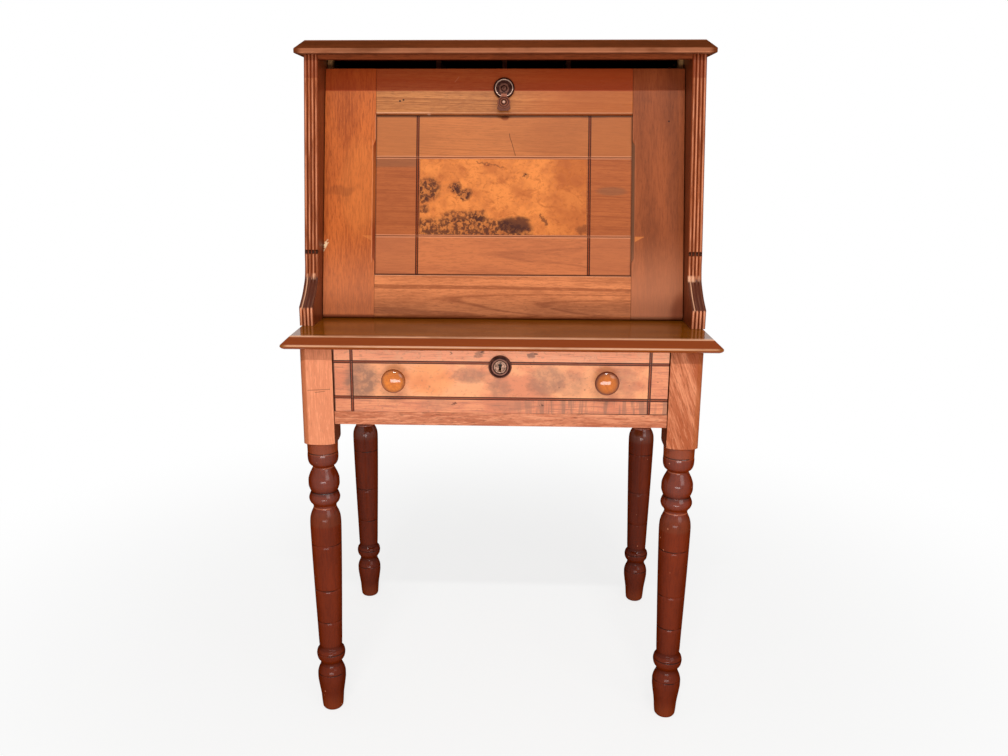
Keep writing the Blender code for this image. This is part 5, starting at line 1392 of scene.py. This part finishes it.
def burl_finish():
    """Gold burl with dark eyes gathered at the left and along the foot."""
    finish = Finish("fall_burl", POLISH)
    x, up = finish.x, finish.up()
    sheet = finish.join(x, up, 0.0)
    warp = finish.noise(sheet, 24.0, 3.0, 0.6)
    figure = finish.noise(sheet, (40, 60, 1), 5.0, 0.68, 1.4)
    fine = finish.noise(sheet, 120.0, 5.0, 0.7, 0.4)
    drift = finish.noise(sheet, (60, 60, 1), 3.0, 0.6, shift=(3, 5, 0)) - 0.5
    across = x + (fine - 0.5) * 0.016 + drift * 0.014
    place = (across, up + drift * 0.018 + (fine - 0.5) * 0.010)
    finish.shade = tone("burl")
    finish.lay("burl_deep", warp.rise(0.38, 0.68), 0.6)
    finish.lay("burl_deep", figure.rise(0.50, 0.68), 0.55)
    finish.lay("burl_deep", fine.rise(0.52, 0.68), 0.45)
    veil = finish.spot(place, *BURL_VEIL)
    finish.lay("burl_deep", finish.largest(veil, across.rise(0.070, 0.110) * 0.6), 0.65)
    mottle = fine.rise(0.44, 0.54)
    finish.lay_spots("burl_eye", place, BURL_CLUSTERS, mottle * 0.65 + 0.35)
    brink = BURL_BRINK - finish.largest(across, 0.0) * 0.30
    band = (place[1] - brink).rise(0.004, -0.006) * across.rise(0.062, 0.048)
    finish.lay("burl_eye", band * (mottle * 0.55 + 0.30))
    finish.lay_spots("burl_eye", place, BURL_SOLID)
    for *streak, strength in BURL_STREAKS:
        finish.lay("burl_eye", finish.stroke(place, *streak), strength)
    finish.lay_spots("burl_eye", place, BURL_DIM)
    specks = finish.cells(sheet, 130.0).rise(0.16, 0.05)
    finish.lay("burl_eye", specks * figure.rise(0.50, 0.62), 0.5)
    finish.height, finish.cloud = figure, warp
    return finish.polish(0.27, 0.04)


class DESK_OT_dress_fall(bpy.types.Operator):
    """Finishes the fall: stiles, rails, panel and the burl field"""

    bl_idname = "desk.dress_fall"
    bl_label = "Dress fall"

    def execute(self, context):
        arris = context.scene.desk_sizes.arris
        for side, sx in SIDES:
            dress([f"fall_stile_{side}"], stile_finish(side, sx), arris)
        dress(["fall_rail_upper"], upper_rail_finish(), arris)
        dress(["fall_rail_lower"], lower_rail_finish(), arris)
        dress(["fall_panel"], panel_finish(), FINE_ARRIS)
        dress(["fall_burl_field"], burl_finish(), HAIR_ARRIS)
        return {"FINISHED"}


# Rosette, its rim and the drop, from the fall's face outwards: (out, radius).
ROSETTE = ((0.0003, 0.0186), (0.0012, 0.0193), (0.0036, 0.0193), (0.0050, 0.0182), (0.0052, 0.0173),
           (0.0026, 0.0171), (0.0026, 0.0142), (0.0022, 0.0120), (0.0015, 0.0088), (0.0023, 0.0080),
           (0.0023, 0.0064), (0.0014, 0.0052), (0.0016, 0.0028), (0.0040, 0.0024), (0.0046, 0.0010))
RIM = ((0.0029, 0.0146), (0.0046, 0.0149), (0.0056, 0.0156), (0.0050, 0.0166), (0.0029, 0.0168))
ROSETTE_UP = 0.4269
DROP = ((0.0119, 0.0100), (0.0122, 0.0112), (0.0134, 0.0116), (0.0144, 0.0110), (0.0146, 0.0098),
        (0.0136, 0.0090), (0.0134, 0.0078), (0.0146, 0.0070), (0.0148, 0.0058), (0.0138, 0.0050),
        (0.0138, 0.0040), (0.0158, 0.0032), (0.0168, 0.0018), (0.0170, 0.0006))
DROP_UP = 0.3978
DROP_GROOVES = (0.0045, 0.0085)
# Where the drop turns dark past its disc and below its middle, and bright at its tip.
DISC_EDGE = (0.0102, 0.0116)
TAIL_BELOW = (-0.002, -0.006)
DROP_TIP = (0.0034, 0.0020)
# Flat tail behind the drop: its (x, up) outline from the drop's middle, and its two faces.
DROP_TAIL = ((-0.0095, 0.0030), (-0.0122, -0.0115), (-0.0080, -0.0155), (0.0080, -0.0155),
             (0.0122, -0.0115), (0.0095, 0.0030))
TAIL_OUT = (-0.0136, -0.0122)
PIN_UP = 0.4119
PIN_OUT = 0.0092
PIN_HOLE = 0.0011
HOLE_HALF = 0.006
DROP_SEGMENTS, HUB_SEGMENTS, HOLE_SEGMENTS = 48, 24, 16
HUB = 0.0027
HUB_HALF = 0.0031
# Blocks of the drop's neck: half width, low and high from the pin, near and far from the fall's face.
NECK = ((0.0027, -0.0065, 0.0018, 0.0119, 0.0134), (0.0026, -0.0026, 0.0017, PIN_OUT, 0.0130))


def at_fall(up, deep):
    """World place on the middle line of the fall."""
    y = PIVOT.y + (up - PIVOT_UP) * math.sin(LEAN) + (deep - PIVOT_IN) * math.cos(LEAN)
    z = PIVOT.z + (up - PIVOT_UP) * math.cos(LEAN) - (deep - PIVOT_IN) * math.sin(LEAN)
    return Vector((0.0, y, z))


def drop_mesh():
    """The drop: a ringed disc on a flat tail, a neck over the bracket, and a hub that turns on the pin."""
    bm = turned(smooth_line(DROP, 3), (0.0, 0.0, DROP_UP), FORWARD, DROP_SEGMENTS)
    bm = combine(bm, prism([(x, DROP_UP + z) for x, z in DROP_TAIL], *TAIL_OUT), "UNION")
    for half, low, high, near, far in NECK:
        corners = ((-half, low), (half, low), (half, high), (-half, high))
        bm = combine(bm, prism([(x, PIN_UP + z) for x, z in corners], -far, -near), "UNION")
    pin = (0.0, -PIN_OUT, PIN_UP)
    for half, radius, segments, operation in (
            (HUB_HALF, HUB, HUB_SEGMENTS, "UNION"), (HOLE_HALF, PIN_HOLE, HOLE_SEGMENTS, "DIFFERENCE")):
        bar = turned(((-half, radius), (half, radius)), pin, (1, 0, 0), segments)
        bm = combine(bm, bar, operation)
    for vert in bm.verts:
        spot = at_fall(vert.co.z, vert.co.y)
        vert.co = (vert.co.x, spot.y, spot.z)
    return bm


def drop_finish():
    """Bronze worn bright on its rings, with painted shade in the grooves between them, and darker on the
    tail.
    """
    finish = Finish("drop_bronze", {"Metallic": 0.2, "Specular IOR Level": 0.15})
    x, v = finish.x, finish.up() - DROP_UP
    radius = (x * x + v * v).root()
    patch = finish.noise(finish.position, 420.0, 3.0, 0.6)
    dull = patch.rise(0.40, 0.66) * 0.5
    tail = radius.rise(*DISC_EDGE) * v.rise(*TAIL_BELOW) * 0.75
    grooves = finish.largest(*[radius.near(r, 0.0008, 0.0008) for r in DROP_GROOVES]) * 0.85
    finish.shade = tone("bronze")
    # Painted shade in the grooves between the drop's rings.
    finish.lay("bronze_dark", finish.largest(dull, tail, grooves))
    finish.lay("brass_bright", radius.rise(*DROP_TIP), 0.6)
    return finish.done(patch * 0.3 + 0.28, patch, 0.10, 0.0002)


class DESK_OT_fit_pull(bpy.types.Operator):
    """Fits the rosette with its bright rim, and the drop in its bracket"""

    bl_idname = "desk.fit_pull"
    bl_label = "Fit pull"

    def execute(self, context):
        outward = (0.0, -math.cos(LEAN), math.sin(LEAN))
        centre = at_fall(ROSETTE_UP, 0.0)
        wood = blackened("blackened_rosette", centre, outward, ROSETTE_WORN)
        rosette = turned(ROSETTE, centre, outward, COLLAR_SEGMENTS)
        make("turned_rosette", rosette, wood, "fall", "pull_rosette", angle=32)
        brass = old_metal("bright_brass", "brass_bright", "rim_dull", 0.24, 0.25, 0.6)
        rim = ring(smooth_line([*RIM, RIM[0]], 3)[:-1], centre, outward, COLLAR_SEGMENTS)
        make("rosette_rim", rim, brass, "fall", "pull_rim")
        make("drop_disc", drop_mesh(), drop_finish(), "drop", "pull_drop", angle=32)
        bronze = old_metal("old_bronze", "bronze", "bronze_dull", 0.42, 0.5, 0.4)
        dress(["pull_bracket"], bronze, SMALL_ARRIS)
        dress(["pull_pin"], brass, HAIR_ARRIS)
        return {"FINISHED"}


# Camera at the photograph's place, and its lens on a 36 mm sensor.
CAMERA_AT = Vector((0.0222, -1.7574, 1.0311))
CAMERA_YAW = math.radians(-2.002)
CAMERA_PITCH = math.radians(13.967)
CAMERA_ROLL = math.radians(-0.131)
CAMERA_LENS = 32.63
CAMERA_SENSOR = 36.0
CAMERA_SHIFT = 0.0218
# Lamps: place, what they are turned to, width and height.
KEY_LAMP = ((0.0, -4.53, 5.04), (0.0, 0.0, 1.10), (2.4, 0.14))
FILL_LAMP = ((2.0, -3.0, 1.9), (0.0, 0.0, 0.55), (1.8, 1.4))
LOW_LAMP = ((0.0, -2.60, 0.22), (0.0, -0.2, 0.60), (1.5, 0.36))
FLOOR_HALF = 9
FLOOR_Z = -0.0003
FLOOR_SHADOW = (0.5, 1.7)  # the desk's shadow fades out between these distances
WHITE = (1.0, 1.0, 1.0)


def camera():
    """The photograph's view."""
    cy, sy = math.cos(CAMERA_YAW), math.sin(CAMERA_YAW)
    cp, sp = math.cos(CAMERA_PITCH), math.sin(CAMERA_PITCH)
    cr, sr = math.cos(CAMERA_ROLL), math.sin(CAMERA_ROLL)
    forward = Vector((sy * cp, cy * cp, -sp))
    level = Vector((cy, -sy, 0.0))
    down = forward.cross(level)
    right = level * cr + down * sr
    below = down * cr - level * sr
    lens = bpy.data.cameras.new("photo_view")
    lens.lens = CAMERA_LENS
    lens.sensor_width = CAMERA_SENSOR
    lens.shift_x = CAMERA_SHIFT
    obj = add("photo_view", lens)
    turn = Matrix((right, -below, -forward)).transposed()
    obj.matrix_world = Matrix.Translation(CAMERA_AT) @ turn.to_4x4()
    bpy.context.scene.camera = obj


def lamp(name, watts, place, target, size):
    """A flat rectangular lamp turned to a target."""
    light = bpy.data.lights.new(name, "AREA")
    light.shape = "RECTANGLE"
    light.size, light.size_y = size
    light.energy = watts
    aim = Vector(target) - Vector(place)
    turn = aim.to_track_quat("-Z", "Y").to_matrix().to_4x4()
    add(name, light).matrix_world = Matrix.Translation(place) @ turn


def seen(graph):
    """1 for what is seen straight, in a reflection or through glass."""
    return graph.largest(*[graph.node("ShaderNodeLightPath", None, None, kind)
                           for kind in ("Is Camera Ray", "Is Glossy Ray", "Is Transmission Ray")])


class DESK_OT_set_stage(bpy.types.Operator):
    """Sets the camera, the lamps, the even light and the pale floor"""

    bl_idname = "desk.set_stage"
    bl_label = "Set stage"

    def execute(self, context):
        scene, light = context.scene, context.scene.desk_light
        camera()
        lamp("key_lamp", light.key, *KEY_LAMP)
        lamp("fill_lamp", light.fill, *FILL_LAMP)
        lamp("low_lamp", light.low, *LOW_LAMP)

        scene.world = bpy.data.worlds.new("studio")
        scene.world.use_nodes = True
        graph = Graph(scene.world.node_tree)
        sky = graph.nodes["Background"].inputs
        graph.plug(sky["Color"], WHITE)
        graph.plug(sky["Strength"], seen(graph) * (1 - light.ambient) + light.ambient)

        bm = bmesh.new()
        corners = ((-1, -1), (1, -1), (1, 1), (-1, 1))
        bm.faces.new([bm.verts.new((x * FLOOR_HALF, y * FLOOR_HALF, FLOOR_Z)) for x, y in corners])
        floor = add("floor", mesh_of("floor", bm))
        finish = Finish("pale_floor")
        far = (finish.x * finish.x + finish.y * finish.y).root().rise(*FLOOR_SHADOW)
        glow = far * (1 - light.floor_glow) + light.floor_glow
        matt = finish.node("ShaderNodeBsdfDiffuse", None, {"Color": light.floor})
        white = finish.node("ShaderNodeEmission", None, {"Color": WHITE, "Strength": 1.0})
        mixed = finish.node("ShaderNodeMixShader", None, {0: seen(finish) * glow, 1: matt, 2: white})
        finish.plug(finish.nodes["Material Output"].inputs["Surface"], mixed)
        finish.nodes.remove(finish.shader)
        floor.data.materials.append(finish.material)
        scene.view_settings.view_transform = "Standard"
        return {"FINISHED"}


OPERATORS = (
    DESK_OT_turn_legs, DESK_OT_dress_frame, DESK_OT_dress_table_top, DESK_OT_dress_drawer, DESK_OT_turn_knobs,
    DESK_OT_fit_drawer_lock, DESK_OT_shape_case_sides, DESK_OT_dress_case_head, DESK_OT_dress_inside,
    DESK_OT_dress_fall, DESK_OT_fit_pull, DESK_OT_set_stage,
)


class DESK_PT_sidebar(bpy.types.Panel):
    """Lists the desk's pieces, sizes, colours and light"""

    bl_idname = "DESK_PT_sidebar"
    bl_label = "Fall-front desk"
    bl_space_type = "VIEW_3D"
    bl_region_type = "UI"
    bl_category = "Desk"

    def draw(self, context):
        for operator in OPERATORS:
            self.layout.operator(operator.bl_idname)
        for group in (context.scene.desk_sizes, context.scene.desk_colours, context.scene.desk_light):
            box = self.layout.box()
            for key in group.__annotations__:
                box.prop(group, key)


GROUPS = {"desk_colours": DeskColours, "desk_sizes": DeskSizes, "desk_light": DeskLight}
CLASSES = (*GROUPS.values(), *OPERATORS, DESK_PT_sidebar)


def register():
    for item in CLASSES:
        bpy.utils.register_class(item)
    for key, group in GROUPS.items():
        setattr(bpy.types.Scene, key, PointerProperty(type=group))


def unregister():
    for key in GROUPS:
        delattr(bpy.types.Scene, key)
    for item in reversed(CLASSES):
        bpy.utils.unregister_class(item)


def main():
    register()
    for operator in OPERATORS:
        group, name = operator.bl_idname.split(".")
        getattr(getattr(bpy.ops, group), name)()


if __name__ == "__main__":
    main()
